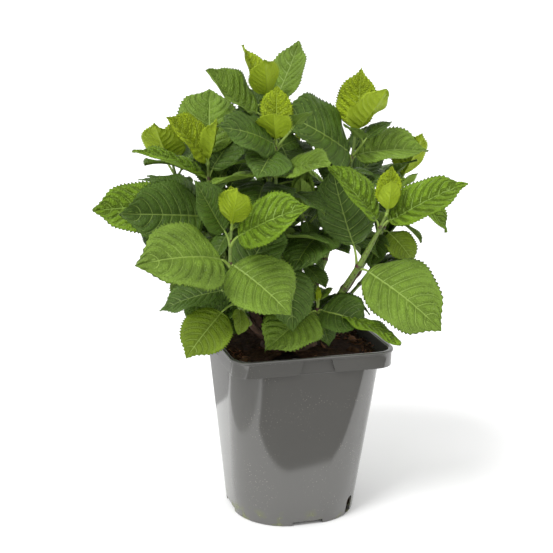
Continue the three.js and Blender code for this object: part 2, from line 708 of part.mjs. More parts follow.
let wood = solidOf(stool());
for (const shoot of shoots) wood = wood.subtract(boughSolid(shoot, CLEARANCE));
const socket = solidOf(stool(CLEARANCE));
plant.add(meshOf("pot", pot(), COLOURS.pot, 0.45));
plant.add(meshOf("compost", compost().subtract(socket), COLOURS.compost, 0.95));
plant.add(meshOf("stool", wood, COLOURS.wood, 0.9));
shoots.forEach((shoot, i) => {
  plant.add(meshOf(`bough_${shoot.name}`, boughSolid(shoot), COLOURS.wood, 0.8));
  plant.add(meshOf(`leaves_${shoot.name}`, massSolid(shoot), COLOURS.leaves[i % COLOURS.leaves.length], 0.6));
});

export default plant;
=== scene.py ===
"""A potted hydrangea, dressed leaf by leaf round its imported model.

The shoots grow by the same rule as the model's solids, carried on to finer twigs, buds and toothed leaves.
Growth is worked out in millimetres, and meshes are in metres. The origin is the middle of the pot's underside.
"""

import math
from functools import lru_cache

import bpy
import numpy as np
from bpy.props import FloatProperty, FloatVectorProperty, IntProperty, PointerProperty
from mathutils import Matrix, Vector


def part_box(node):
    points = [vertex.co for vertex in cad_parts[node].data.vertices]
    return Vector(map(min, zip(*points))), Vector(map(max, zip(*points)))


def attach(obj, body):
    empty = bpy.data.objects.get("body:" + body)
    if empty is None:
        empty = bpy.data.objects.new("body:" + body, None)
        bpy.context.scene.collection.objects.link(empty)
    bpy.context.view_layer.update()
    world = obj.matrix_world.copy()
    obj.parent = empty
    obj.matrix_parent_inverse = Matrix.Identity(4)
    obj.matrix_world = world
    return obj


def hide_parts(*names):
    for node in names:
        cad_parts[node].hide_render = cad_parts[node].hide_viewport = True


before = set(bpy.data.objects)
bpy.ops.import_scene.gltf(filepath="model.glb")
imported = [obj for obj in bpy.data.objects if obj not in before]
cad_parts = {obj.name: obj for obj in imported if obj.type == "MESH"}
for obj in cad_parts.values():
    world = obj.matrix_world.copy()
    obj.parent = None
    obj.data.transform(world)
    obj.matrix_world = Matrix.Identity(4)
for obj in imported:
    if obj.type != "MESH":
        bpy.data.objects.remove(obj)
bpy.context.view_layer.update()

bl_info = {
    "name": "Potted Hydrangea",
    "version": (1, 0, 0),
    "blender": (4, 5, 0),
    "location": "View3D > Sidebar > Hydrangea",
    "description": "Grows a leafy hydrangea in its nursery pot",
    "category": "Add Mesh",
}

MM = 0.001
_, POT_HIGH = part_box("pot")
POT_HALF = POT_HIGH.x / MM
POT_HEIGHT = POT_HIGH.z / MM

# ---- Driving sizes of the plant, in millimetres and degrees -------------------------------------------------

BODY_INSET = 7
SOIL_LEVEL = 204
STOOL_X = -8
STOOL_Y = -10
STOOL_RADIUS = 36
STOOL_TOP = SOIL_LEVEL + 14
FOOT_LEVEL = STOOL_TOP - 5
FEET_INNER = 6
FEET_OUTER = 30
FEET_SPACING = 10.5
STEM_TIP = 1.6
STEM_TAPER = 1 / 100
ROOT_DEPTH = 4
BOUGH_MARGIN = 12
CROWN_X = -5
CROWN_Y = 25
CROWN_REACH = 190
CROWN_MIDDLE = 365
CROWN_TOP = 535
CROWN_FOOT = 200
LEAF_TO_LEAF = 5
LEAF_TO_STEM = 4
FILL_SWELL = 4  # how far past the crown's space the filling leaves may stand
OWN_STEM_REACH = 11
STEM_SEARCH = 90  # stems and leaves further off than this aren't compared
LEAF_SEARCH = 110
LARGE_LEAF = 58
SMALL_LEAF = 24
CURVE_STEPS = 200

CAMERA_PLACE = (-0.43252, -1.33252, 0.65896)
CAMERA_TURN = (75.2498, -0.9922, -16.8787)
CAMERA_LENS = 78.125

LIME, BRIGHT, MIDDLE, DARK, OLIVE = range(5)

# Leaf pairs from a shoot's tip down.
AGES = [
    {"length": 46, "breadth": 0.72, "stalk": 5, "rise": 70, "droop": -14, "fold": 32, "tone": LIME},
    {"length": 84, "breadth": 0.66, "stalk": 15, "rise": 46, "droop": 26, "fold": 24, "tone": BRIGHT},
    {"length": 106, "breadth": 0.70, "stalk": 25, "rise": 14, "droop": 48, "fold": 14, "tone": MIDDLE},
    {"length": 112, "breadth": 0.72, "stalk": 30, "rise": -10, "droop": 50, "fold": 10, "tone": DARK},
]


def leaf(heading, rise, length, **more):
    """A listed leaf: its compass heading, its rise and length, and what else differs from its age."""
    return {"heading": heading, "rise": rise, "length": length, **more}


def shoot(name, tip, nodes, turn, leaves=(), elbow=(0.8, 0.5), woody=0.7, girth=1.0):
    """A row of the table: a shoot's tip, its pairs' distances below the tip and the leaves listed for it."""
    return {
        "name": name, "tip": np.array(tip, float), "nodes": nodes, "turn": turn,
        "leaves": list(leaves), "elbow": elbow, "woody": woody, "girth": girth,
    }


SHOOTS = [
    shoot("crown", (-32, 20, 503), [0, 24, 62, 104, 150], 135, elbow=(0.9, 0.5), leaves=[
        [leaf(130, 53, 64, roll=5), leaf(254, 40, 62, roll=-20)],
        [leaf(35, 50, 92, droop=-8, fold=14, tone=MIDDLE),
         leaf(174, 26, 82, roll=24, droop=-30, fold=26, stalk=12, breadth=0.84, tone=MIDDLE)],
        [leaf(192, 3, 62, roll=33, droop=30, fold=10, stalk=10, breadth=0.9, tone=DARK),
         leaf(2, -7, 69, roll=-33, droop=30, fold=10, stalk=10, tone=DARK)],
    ]),
    shoot("front_top", (-37, -39, 461), [0, 9, 38, 80, 126], 262, elbow=(1, 0.5), leaves=[
        [leaf(73, 66, 50, breadth=0.78, fold=20, stalk=14), leaf(249, 34, 52, fold=24, droop=-14, breadth=0.86)],
        [leaf(214, 30, 85, roll=51, droop=30, fold=10, stalk=6, tone=DARK),
         leaf(240, -10, 61, roll=24, droop=30, fold=10, stalk=6, breadth=0.95, tone=DARK)],
        [leaf(296, 23, 78, roll=-28, droop=22, stalk=8),
         leaf(185, 1, 78, roll=-6, droop=16, fold=10, stalk=8, tone=MIDDLE)],
        [leaf(217, -67, 51, roll=-6, droop=20, fold=10), leaf(72, -5, 60, droop=30)],
    ]),
    shoot("right_top", (72, -3, 463), [0, 30, 72, 112, 156], 40, elbow=(0.9, 0.6), leaves=[
        [leaf(40, 76, 72, fold=18, breadth=0.8), leaf(300, 46, 66, roll=5, fold=22, droop=-10, breadth=0.98)],
        [leaf(203, 36, 114, roll=58, fold=14, droop=20, stalk=6, breadth=0.8, tone=DARK),
         leaf(342, 18, 92, roll=-36, droop=33, stalk=4, tone=MIDDLE)],
        [leaf(121, 57, 61, roll=21, droop=20, fold=10, stalk=14, tone=DARK),
         leaf(321, 28, 42, roll=-42, droop=20, fold=10, stalk=10, tone=DARK)],
        [leaf(225, -10, 90, droop=24), leaf(60, -10, 95, droop=24)],
    ]),
    shoot("right_front", (79, -95, 385), [0, 20, 76], 262, elbow=(0.62, 0.45), woody=0.0, girth=1.5, leaves=[
        [leaf(54, 68, 49), leaf(257, 52, 41, droop=-25, fold=30)],
        [leaf(163, 55, 84, roll=31, droop=20, stalk=9), leaf(330, 38, 100, roll=-34, fold=12, stalk=12)],
        [leaf(111, 61, 98, roll=9, droop=-8, fold=8, breadth=0.76, stalk=25, tone=DARK),
         leaf(311, -21, 111, roll=-36, droop=36, fold=8, breadth=0.82, stalk=12)],
    ]),
    shoot("front_left", (-102, -92, 377), [0, 18, 42, 76, 88], 262, elbow=(1.2, 0.35), leaves=[
        [leaf(261, 42, 60, roll=15), leaf(82, 65, 40)],
        [leaf(186, 55, 71, roll=60, fold=20, droop=-10, breadth=0.8, tone=DARK),
         leaf(317, 33, 91, roll=-48, fold=16, droop=20, stalk=12, breadth=0.76)],
        [leaf(222, 17, 120, roll=55, fold=10, droop=38, stalk=20, tone=MIDDLE),
         leaf(312, -24, 87, roll=-24, fold=10, droop=20, stalk=3, breadth=0.98, tone=MIDDLE)],
        [leaf(17, 54, 84, roll=-27, droop=16, fold=8, stalk=16),
         leaf(175, -2, 74, roll=16, fold=10, droop=34, stalk=14)],
        [leaf(218, -24, 70, roll=21, fold=8, droop=26, stalk=28, breadth=0.8, tone=OLIVE),
         leaf(266, -34, 32, roll=33, fold=14, droop=36, stalk=16, tone=OLIVE)],
    ]),
    shoot("left_top", (-108, -6, 434), [0, 19, 66, 106, 150], 181, elbow=(1, 0.45), leaves=[
        [leaf(207, 47, 74, roll=58, droop=10, fold=22, breadth=0.8), leaf(299, 67, 49, fold=40)],
        [leaf(183, 21, 93, roll=15, fold=30, droop=0, stalk=3, breadth=0.56),
         leaf(75, 57, 93, fold=14, droop=18, stalk=29, breadth=0.84, tone=MIDDLE)],
        [leaf(206, 10, 106, roll=75, droop=27, breadth=0.76, stalk=15, tone=DARK),
         leaf(28, 8, 72, roll=-60, fold=10, droop=30, stalk=15, tone=DARK)],
    ]),
    shoot("left_back", (-127, 102, 418), [0, 22, 64, 104], 215, leaves=[
        [leaf(232, 42, 64, roll=-5, fold=12, breadth=0.86), leaf(60, 60, 50)],
        [leaf(278, -2, 30, roll=-45, droop=20, fold=10, stalk=14, tone=DARK),
         leaf(135, -26, 35, roll=87, droop=20, fold=10, stalk=14)],
        [leaf(180, 6, 104, roll=50, droop=20, stalk=15, tone=BRIGHT)],
    ]),
    shoot("right_back", (144, 19, 403), [0, 24, 66], 300, leaves=[
        [leaf(284, 55, 63, roll=20), leaf(90, 64, 50)],
        [leaf(318, -12, 66, roll=-21, droop=60)],
        [leaf(301, -35, 50, roll=-21, droop=10, fold=10, stalk=10, breadth=0.9, tone=OLIVE),
         leaf(219, -48, 45, roll=-6, droop=20, fold=10, stalk=10, breadth=0.9, tone=DARK)],
    ]),
    shoot("low_right", (12, -58, 272), [0, 8], 174, woody=0.3, leaves=[
        [leaf(174, 50, 45, roll=30, tone=BRIGHT), leaf(60, 20, 40, droop=30, tone=MIDDLE)],
        [leaf(215, -8, 84, roll=27, fold=8, droop=36, stalk=8, breadth=0.8, tone=MIDDLE),
         leaf(310, 3, 58, roll=-33, fold=12, droop=36, stalk=6, breadth=1.0, tone=DARK),
         leaf(312, -11, 79, roll=6, fold=14, droop=10, stalk=34, breadth=0.6, tone=BRIGHT),
         leaf(289, -50, 40, droop=20, fold=10, stalk=6, breadth=0.8, tone=DARK)],
    ]),
    shoot("middle", (2, -22, 372), [0, 22, 58, 96], 60, woody=0.9, leaves=[
        [],
        [leaf(225, -46, 50, roll=-21, droop=40, fold=12, breadth=0.8, stalk=8, tone=DARK)],
        [leaf(293, -18, 43, roll=6, droop=20, fold=12, stalk=8, tone=DARK)],
    ]),
    shoot("back_top", (25, 95, 405), [0, 22, 60, 100, 140], 20),
    shoot("back_right", (100, 115, 365), [0, 22, 60], 60),
    shoot("back_left", (-52, 140, 385), [0, 22, 60, 100, 140], 100),
    shoot("right_low", (140, 62, 305), [0, 22, 60, 100], 330),
    shoot("back_low", (30, 160, 315), [0, 22, 60, 100], 70),
    shoot("left_low", (-140, 52, 300), [0, 22, 60, 100], 200),
    shoot("back_corner", (-95, 150, 290), [0, 22, 60, 100], 30),
    shoot("right_middle", (78, 62, 400), [0, 22, 60], 10, leaves=[
        [],
        [leaf(343, 42, 69, roll=-27, droop=0, fold=12, stalk=12, breadth=0.9),
         leaf(163, 63, 48, roll=36, droop=0, fold=12, stalk=12, breadth=0.9)],
    ]),
    shoot("left_middle", (-72, 62, 400), [0, 22, 60, 100], 140, leaves=[
        [],
        [leaf(191, 51, 66, roll=63, droop=0, fold=12, stalk=12),
         leaf(4, 61, 62, roll=-24, droop=0, fold=12, stalk=12, breadth=0.9)],
    ]),
    shoot("back_middle", (2, 154, 352), [0, 22, 60, 100], 0),
]

# These shoots stand in the others' shade, and their young leaves are darker: the tones of grown and old leaves paint
# that shade.
PAINTED_SHADE_SHOOTS = ["middle", "right_middle", "left_middle", "back_middle", "left_low", "back_corner", "right_low", "back_low"]

# These shoots bear no side twigs.
BARE = ["front_left", "right_front", "low_right"]

# Openings that show the sky in front: a point on the line of sight and how far around it stays open.
OPENINGS = [
    ((52, -37, 307), 15),
    ((35, -32, 310), 8),
    ((-4, -20, 303), 4),
    ((-5, -19, 374), 4),
    ((90, -49, 358), 6),
    ((67, -42, 288), 9),
    ((42, -34, 292), 8),
]

# The shoots whose foliage is joined into each piece.
SPRAYS = {
    "top": ["crown", "front_top", "right_top", "middle"],
    "right": ["right_front", "right_back", "low_right", "right_middle"],
    "left": ["front_left", "left_top", "left_back", "left_middle"],
    "back": ["back_top", "back_right", "back_left", "right_low"],
    "low": ["back_low", "left_low", "back_corner", "back_middle"],
}

# Small leaves in the shade, listed for a shoot's pair.
INNER = [
    ("middle", 0, leaf(291, -53, 36, roll=3)),
    ("middle", 0, leaf(31, -23, 40, roll=-90)),
    ("right_top", 1, leaf(119, 34, 29, roll=51)),
    ("right_top", 1, leaf(36, 51, 38, roll=-12)),
    ("crown", 1, leaf(118, 42, 42, roll=33)),
    ("crown", 2, leaf(132, 57, 60, roll=24)),
    ("left_top", 1, leaf(28, 51, 78, roll=-21)),
    ("front_top", 1, leaf(25, 13, 30, roll=-60)),
]

# Small moves that a leaf tries, in this order: turn, raise and growth.
TRIES = [
    (0, 0, 1), (8, 0, 1), (-8, 0, 1), (0, 8, 1), (0, -8, 1),
    (15, 8, 0.95), (-15, 8, 0.95), (15, -10, 0.9), (-15, -10, 0.9), (26, 0, 0.85), (-26, 0, 0.85),
    (0, 18, 0.8), (0, -22, 0.8), (36, 10, 0.75), (-36, 10, 0.75), (50, -10, 0.7), (-50, -10, 0.7),
    (60, 20, 0.65), (-60, 20, 0.65),
]


# ---- Geometry helpers ---------------------------------------------------------------------------------------


def unit(vector):
    vector = np.asarray(vector, float)
    return vector / np.linalg.norm(vector, axis=-1, keepdims=True)


def direction(heading, rise):
    """The direction of a compass heading (from +X towards +Y) and a rise above the level."""
    heading = math.radians(heading)
    rise = math.radians(rise)
    level = math.cos(rise)
    return np.array([level * math.cos(heading), level * math.sin(heading), math.sin(rise)])


def smooth(low, high, value):
    share = np.clip((value - low) / (high - low), 0, 1)
    return share * share * (3 - 2 * share)


def seeded(seed):
    """The model's own source of numbers from 0 to 1."""
    state = seed
    while True:
        state = state * 16807 % 2147483647
        yield state / 2147483647


class Bend:
    """A quadratic curve through space, measured along its length."""

    def __init__(self, start, elbow, end):
        self.ends = np.array([start, elbow, end], float)
        self.shares = np.linspace(0, 1, CURVE_STEPS + 1)
        steps = np.linalg.norm(np.diff(self.at(self.shares), axis=0), axis=1)
        self.lengths = np.concatenate([[0], np.cumsum(steps)])
        self.long = self.lengths[-1]

    def at(self, t):
        t = np.asarray(t, float)[..., None]
        start, elbow, end = self.ends
        return (1 - t) ** 2 * start + 2 * t * (1 - t) * elbow + t * t * end

    def point(self, share):
        """The point at a share of the length."""
        return self.at(np.interp(np.asarray(share) * self.long, self.lengths, self.shares))

    def tangent(self, share):
        t = np.interp(np.asarray(share) * self.long, self.lengths, self.shares)[..., None]
        start, elbow, end = self.ends
        return unit((1 - t) * (elbow - start) + t * (end - elbow))


class Pile:
    """Gathers the vertices and faces of many small shapes, for one joined mesh."""

    def __init__(self):
        self.points = []
        self.corners = []
        self.sizes = []
        self.slots = []
        self.uvs = []
        self.count = 0

    def add(self, points, faces, slots, uvs=None):
        """faces is a list of (n, corners) arrays, slots the material of each face in the same order."""
        self.points.append(np.asarray(points, float).reshape(-1, 3))
        for block in faces:
            self.corners.append((block + self.count).ravel())
            self.sizes.append(np.full(len(block), block.shape[1], np.int32))
        self.slots.append(np.asarray(slots, np.int32))
        corners = sum(block.size for block in faces)
        self.uvs.append(np.zeros((corners, 2)) if uvs is None else uvs)
        self.count += len(self.points[-1])

    def mesh(self, name):
        """The joined mesh, from millimetres to metres."""
        points = np.concatenate(self.points) * MM
        corners = np.concatenate(self.corners).astype(np.int32)
        sizes = np.concatenate(self.sizes)
        mesh = bpy.data.meshes.new(name)
        mesh.vertices.add(len(points))
        mesh.vertices.foreach_set("co", points.astype(np.float32).ravel())
        mesh.loops.add(len(corners))
        mesh.loops.foreach_set("vertex_index", corners)
        mesh.polygons.add(len(sizes))
        mesh.polygons.foreach_set("loop_start", np.concatenate([[0], np.cumsum(sizes)[:-1]]).astype(np.int32))
        mesh.polygons.foreach_set("material_index", np.concatenate(self.slots))
        mesh.polygons.foreach_set("use_smooth", np.ones(len(sizes), bool))
        layer = mesh.uv_layers.new(name="UVMap")
        layer.data.foreach_set("uv", np.concatenate(self.uvs).astype(np.float32).ravel())
        mesh.update(calc_edges=True)
        mesh.validate()
        return mesh


def finish_piece(piece, replaces=()):
    """Every piece rides with the plant's one body."""
    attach(piece, "root")
    if replaces:
        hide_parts(*replaces)
    return piece


def piece_from(pile, name, materials):
    mesh = pile.mesh(name)
    for material in materials:
        mesh.materials.append(material)
    piece = bpy.data.objects.new(name, mesh)
    bpy.context.scene.collection.objects.link(piece)
    return piece


def tube(pile, points, radii, sides, slots, relief=None):
    """A closed round tube through points. slots is one material for each ring of faces."""
    points = np.asarray(points, float)
    rings = len(points)
    tangents = unit(np.gradient(points, axis=0))
    side = np.cross(tangents[0], [0.31, 0.17, 0.93])
    frames = []
    for tangent in tangents:
        side = unit(side - tangent * np.dot(side, tangent))
        frames.append((side, np.cross(tangent, side)))
    turns = 2 * math.pi * np.arange(sides) / sides
    across = np.array([f[0] for f in frames])
    over = np.array([f[1] for f in frames])
    size = np.repeat(np.asarray(radii, float)[:, None], sides, 1)
    if relief is not None:
        size = size + relief
    skin = points[:, None] + size[..., None] * (
        np.cos(turns)[None, :, None] * across[:, None] + np.sin(turns)[None, :, None] * over[:, None]
    )
    i, j = np.meshgrid(np.arange(rings - 1), np.arange(sides), indexing="ij")
    following = (j + 1) % sides
    quads = np.stack([i * sides + j, i * sides + following, (i + 1) * sides + following, (i + 1) * sides + j], -1)
    quads = quads.reshape(-1, 4)
    first = rings * sides
    around = np.arange(sides)
    start_cap = np.stack([(around + 1) % sides, around, np.full(sides, first)], -1)
    last = (rings - 1) * sides
    end_cap = np.stack([last + around, last + (around + 1) % sides, np.full(sides, first + 1)], -1)
    every = np.concatenate([skin.reshape(-1, 3), points[:1], points[-1:]])
    gone = np.concatenate([[0], np.cumsum(np.linalg.norm(np.diff(points, axis=0), axis=1))])
    u = np.stack([j, j + 1, j + 1, j], -1) / sides
    v = np.stack([gone[i], gone[i], gone[i + 1], gone[i + 1]], -1) / 100
    cap = np.zeros((sides, 3, 2))
    uvs = np.concatenate([np.stack([u, v], -1).reshape(-1, 2), cap.reshape(-1, 2), cap.reshape(-1, 2)])
    slots = np.broadcast_to(slots, rings - 1)
    kinds = np.concatenate([np.repeat(slots, sides), np.full(sides, slots[0]), np.full(sides, slots[-1])])
    pile.add(every, [quads, np.concatenate([start_cap, end_cap])], kinds, uvs)


# ---- Growth -------------------------------------------------------------------------------------------------


def outline(s):
    """Half the blade's breadth as a share of the widest, from its base to its drawn-out tip."""
    s = np.clip(s, 0, 1)
    return 2.6 * s ** 0.6 * (1 - s) ** 0.8 * (1 - 0.45 * s ** 14)


def blade_points(blade, s, across, lift=0.0, arch=0.0, beyond=0.0, shape=outline):
    """Points of the blade: s runs from base to tip, across from -1 at one margin to 1 at the other."""
    s = np.asarray(s, float)
    droop = blade["droop"]
    bend = droop * s
    if abs(droop) < 1e-3:
        forward, down = s, np.zeros_like(s)
    else:
        forward, down = np.sin(bend) / droop, (1 - np.cos(bend)) / droop
    length = blade["length"]
    half = 0.5 * length * blade["breadth"] * shape(s) * across + beyond
    up = np.cos(bend)[..., None] * blade["normal"] + np.sin(bend)[..., None] * blade["along"]
    spine = blade["base"] + (length * forward)[..., None] * blade["along"]
    spine = spine - (length * down)[..., None] * blade["normal"]
    rise = np.abs(half) * math.sin(blade["fold"]) * (1 + arch * (0.5 - np.abs(across))) + lift
    return spine + (half * math.cos(blade["fold"]))[..., None] * blade["side"] + rise[..., None] * up


def stem_radius(row, share):
    return STEM_TIP + STEM_TAPER * row["long"] * (1 - share)


SAMPLE_S, SAMPLE_ACROSS = (grid.ravel() for grid in np.meshgrid(
    np.arange(1, 18) / 17, np.linspace(-1, 1, 11), indexing="ij"))


def set_leaf(row, pair, wanted, change=(0, 0, 1)):
    """Sets a leaf on its shoot: turned, raised and shrunk by a try."""
    spec = {"roll": 0, **AGES[min(pair, len(AGES) - 1)], **wanted}
    # Leaves on the shoots in the shade take darker tones: painted shade.
    if row["name"] in PAINTED_SHADE_SHOOTS and "tone" not in wanted:
        spec["tone"] = MIDDLE if pair == 0 else DARK
    turn, lift, grow = change
    heading = spec["heading"] + turn
    rise = spec["rise"] + lift
    share = 1 - spec.get("below", row["nodes"][min(pair, len(row["nodes"]) - 1)]) / row["long"]
    node = spec.get("node", row["curve"].point(share))
    root = spec.get("root", row["curve"].point(share - ROOT_DEPTH / row["long"]))
    along = direction(heading, rise)
    flat_normal = direction(heading + 180, 90 - rise)
    flat_side = np.cross(flat_normal, along)
    roll = math.radians(spec["roll"])
    normal = flat_normal * math.cos(roll) + flat_side * math.sin(roll)
    knee = node + direction(heading, min(85, rise + 14)) * spec["stalk"] * 0.55
    base = knee + along * spec["stalk"] * 0.45
    blade = {
        "base": base, "along": along, "normal": normal, "side": np.cross(normal, along),
        "length": spec["length"] * grow, "breadth": spec["breadth"], "tone": spec["tone"],
        "droop": math.radians(spec["droop"]), "fold": math.radians(spec["fold"]), "pair": pair,
        "stalk": Bend(root, knee, base),
    }
    stalk_samples = blade["stalk"].at(np.arange(2, 9) / 8)
    blade["samples"] = np.concatenate([stalk_samples, blade_points(blade, SAMPLE_S, SAMPLE_ACROSS)])
    blade["middle"] = blade["samples"].mean(0)
    return blade


def inside_crown(points, swell=0.0):
    z = points[:, 2]
    span = np.where(z > CROWN_MIDDLE, CROWN_TOP - CROWN_MIDDLE, CROWN_MIDDLE - CROWN_FOOT)
    share = (z - CROWN_MIDDLE) / span
    reach = (CROWN_REACH + swell) * np.sqrt(np.clip(1 - share ** 2, 0, None))
    return bool((np.hypot(points[:, 0] - CROWN_X, points[:, 1] - CROWN_Y) < reach).all())


def clear_of_pot(points):
    reach = np.maximum(np.abs(points[:, 0]), np.abs(points[:, 1]))
    z = points[:, 2]
    fine = np.where(
        reach < POT_HALF - BODY_INSET - 5, z > SOIL_LEVEL + 8, (reach > POT_HALF + 4) | (z > POT_HEIGHT + 4)
    )
    return bool(fine.all())


def clear_of_stems(blade, row, rows):
    samples = blade["samples"][::2]
    for other in rows:
        points = other["points"]
        if other is row:
            points = points[: int(other["split"] * len(points))]
        reach = LEAF_TO_STEM + stem_radius(other, np.arange(len(points)) / len(other["points"]))
        near = np.linalg.norm(points - blade["middle"], axis=1) < STEM_SEARCH
        if not near.any():
            continue
        apart = np.linalg.norm(samples[:, None] - points[near][None], axis=2)
        if (apart < reach[near]).any():
            return False
    return True


def clear_of_leaves(blade, row, rows):
    for other in rows:
        if other is row:
            continue
        for leafy in other["blades"]:
            if np.linalg.norm(blade["middle"] - leafy["middle"]) > LEAF_SEARCH:
                continue
            apart = ((blade["samples"][:, None] - leafy["samples"][None, ::2]) ** 2).sum(2)
            if apart.min() < LEAF_TO_LEAF ** 2:
                return False
    return True


def place(row, pair, wanted, rows):
    """Adds a leaf by the first try that is clear of everything, and says whether it did."""
    for change in TRIES:
        blade = set_leaf(row, pair, wanted, change)
        samples = blade["samples"]
        if not inside_crown(samples) or not clear_of_pot(samples):
            continue
        if clear_of_stems(blade, row, rows) and clear_of_leaves(blade, row, rows):
            row["blades"].append(blade)
            return True
    return False


def spread_feet(feet):
    """Pushes feet apart until none stands closer to another than the spacing."""
    for _ in range(60):
        for i in range(len(feet)):
            for j in range(i + 1, len(feet)):
                apart = feet[j] - feet[i]
                short = FEET_SPACING - np.linalg.norm(apart)
                if short <= 0:
                    continue
                push = unit(apart) * short / 2
                feet[j] += push
                feet[i] -= push


def grow_shoots():
    """The curve of each shoot, from its foot in the stool to its tip."""
    rows = [dict(row) for row in SHOOTS]
    tallest = max(row["tip"][2] for row in rows)
    feet = []
    for row in rows:
        compass = math.degrees(math.atan2(row["tip"][1] - STOOL_Y, row["tip"][0] - STOOL_X))
        low = (tallest - row["tip"][2]) / (tallest - SOIL_LEVEL)
        ring = FEET_INNER + (FEET_OUTER - FEET_INNER) * low
        feet.append(direction(compass, 0) * ring + (STOOL_X, STOOL_Y, FOOT_LEVEL))
    spread_feet(feet)
    for row, foot in zip(rows, feet):
        out, up = row["elbow"]
        elbow = foot + (row["tip"] - foot) * out
        elbow[2] = foot[2] + (row["tip"][2] - foot[2]) * up
        row["curve"] = Bend(foot, elbow, row["tip"])
        row["long"] = row["curve"].long
        row["split"] = 1 - (row["nodes"][-1] + BOUGH_MARGIN) / row["long"]
        count = math.ceil(row["long"] / 4)
        row["points"] = row["curve"].point(np.arange(count + 1) / count)
        row["blades"] = []
        row["twigs"] = []
    return rows


def grow_leaves(rows):
    """Listed leaves go first, then each pair that the rule fills. Gives what found no room."""
    random = seeded(5)
    left_over = []
    for row in rows:
        for k, pair in enumerate(row["leaves"]):
            for wanted in pair:
                row["blades"].append(set_leaf(row, k, wanted))
    for k in range(max(len(row["nodes"]) for row in rows)):
        for row in (each for each in rows if len(each["nodes"]) > k):
            age = AGES[min(k, len(AGES) - 1)]
            given = len(row["leaves"][k]) if k < len(row["leaves"]) else 0
            for j in range(given, 2):
                heading = row["turn"] + 90 * k + 180 * j + 24 * (next(random) - 0.5)
                rise = age["rise"] + 14 * (next(random) - 0.5)
                length = age["length"] * (0.88 + 0.24 * next(random))
                wanted = leaf(heading, rise, length)
                if not place(row, k, wanted, rows):
                    left_over.append((row, k, wanted))
    return left_over


class Room:
    """A grid that remembers which space the leaves and stems have taken."""

    CELL = 2.0
    LOW = np.array([-280.0, -280.0, 150.0])
    SHAPE = (285, 285, 220)

    def __init__(self, rows):
        self.taken = np.zeros(self.SHAPE, bool)
        self.eye = np.array(CAMERA_PLACE) / MM
        self.sights = [(unit(point - self.eye), reach) for point, reach in OPENINGS]
        for row in rows:
            self.take(row["points"])
            for blade in row["blades"]:
                self.take(blade["samples"])

    def cells(self, points):
        return np.clip(((points - self.LOW) / self.CELL).astype(int), 1, np.array(self.SHAPE) - 2)

    def take(self, points):
        cells = self.cells(points)
        for offset in np.ndindex(3, 3, 3):
            self.taken[tuple((cells + np.array(offset) - 1).T)] = True

    def free(self, blade):
        """Whether a leaf has room, apart from where its stalk meets its own stem."""
        points = blade["samples"]
        if not inside_crown(points, FILL_SWELL) or not clear_of_pot(points):
            return False
        for sight, reach in self.sights:
            seen = points - self.eye
            aside = seen - (seen @ sight)[:, None] * sight
            if (np.linalg.norm(aside, axis=1) < reach).any():
                return False
        away = np.linalg.norm(points - blade["stalk"].ends[0], axis=1) > OWN_STEM_REACH
        return not self.taken[tuple(self.cells(points[away]).T)].any()


def fit(room, row, pair, wanted, sizes, turns, lifts):
    """Adds the largest leaf near the wanted one that has room, and says whether it did."""
    for grow in sizes:
        for turn in turns:
            for lift in lifts:
                blade = set_leaf(row, pair, wanted, (turn, lift, grow))
                if room.free(blade):
                    room.take(blade["samples"])
                    row["blades"].append(blade)
                    return True
    return False


def grow_inner(rows, room):
    """The small leaves in the shade."""
    named = {row["name"]: row for row in rows}
    for name, pair, wanted in INNER:
        # These leaves take the old leaves' dark tone, which is partly their own colour and partly painted shade
        # inside the crown.
        blade = set_leaf(named[name], pair, {"droop": 15, "fold": 10, "stalk": 10, "tone": DARK, **wanted})
        room.take(blade["samples"])
        named[name]["blades"].append(blade)


def grow_twigs(rows, room):
    """Side twigs in the axils of the older pairs, each with a small pair of leaves."""
    random = seeded(11)
    for row in (each for each in rows if each["name"] not in BARE):
        for k in range(1, len(row["nodes"])):
            for j in range(2):
                heading = row["turn"] + 90 * k + 180 * j + 30 * (next(random) - 0.5)
                reach = 10 + 22 * next(random)
                length = (38 if k < 2 else 64) + 26 * next(random)
                share = 1 - (row["nodes"][k] - 3) / row["long"]
                start = row["curve"].point(share)
                end = start + direction(heading, 48) * reach
                twig = Bend(start - row["curve"].tangent(share) * 2, start + (end - start) * 0.6, end)
                # The twig leaves take the old leaves' dark tone, which is partly their own colour and partly painted
                # shade inside the crown.
                found = [
                    fit(room, row, 1, leaf(
                        heading + turn, 42 if k < 2 else -8, length, breadth=0.74, stalk=6, droop=28, fold=14,
                        node=end, root=end - direction(heading, 48) * 2, tone=DARK,
                    ), (1, 0.8) if k < 2 else (1, 0.8, 0.6, 0.45), (0, 25, -25, 50, -50), (0, 20, -20, 40))
                    for turn in (90, 270)
                ]
                if any(found):
                    row["twigs"].append((twig, 1.7, 1.2))


def grow_buds(rows):
    """The youngest, still folded pair at the tip of each shoot, across the first pair."""
    random = seeded(23)
    for row in rows:
        tip = row["tip"]
        up = row["curve"].tangent(1.0)
        lean = math.degrees(math.atan2(up[1], up[0]))
        for turn in (90, 270):
            length = 13 + 7 * next(random)
            wanted = leaf(
                row["turn"] + turn + 16 * (next(random) - 0.5), 74 + 8 * next(random), length,
                breadth=0.5, stalk=2.5, droop=-22, fold=50, node=tip, root=tip - up * 3, tone=LIME,
            )
            row["blades"].append(set_leaf(row, 0, wanted))
        bud_end = tip + unit(up + direction(lean, 80)) * 7
        row["twigs"].append((Bend(tip - up, tip + up * 3, bud_end), 1.9, 0.7))


@lru_cache(maxsize=1)
def plant():
    """The whole plant's growth, which the operators share."""
    rows = grow_shoots()
    left_over = grow_leaves(rows)
    room = Room(rows)
    grow_inner(rows, room)
    for row, pair, wanted in left_over:
        fit(room, row, pair, wanted, (0.95, 0.8, 0.66, 0.52), (0, 25, -25, 50, -50), (0, 18, -18))
    grow_twigs(rows, room)
    grow_buds(rows)
    return {row["name"]: row for row in rows}


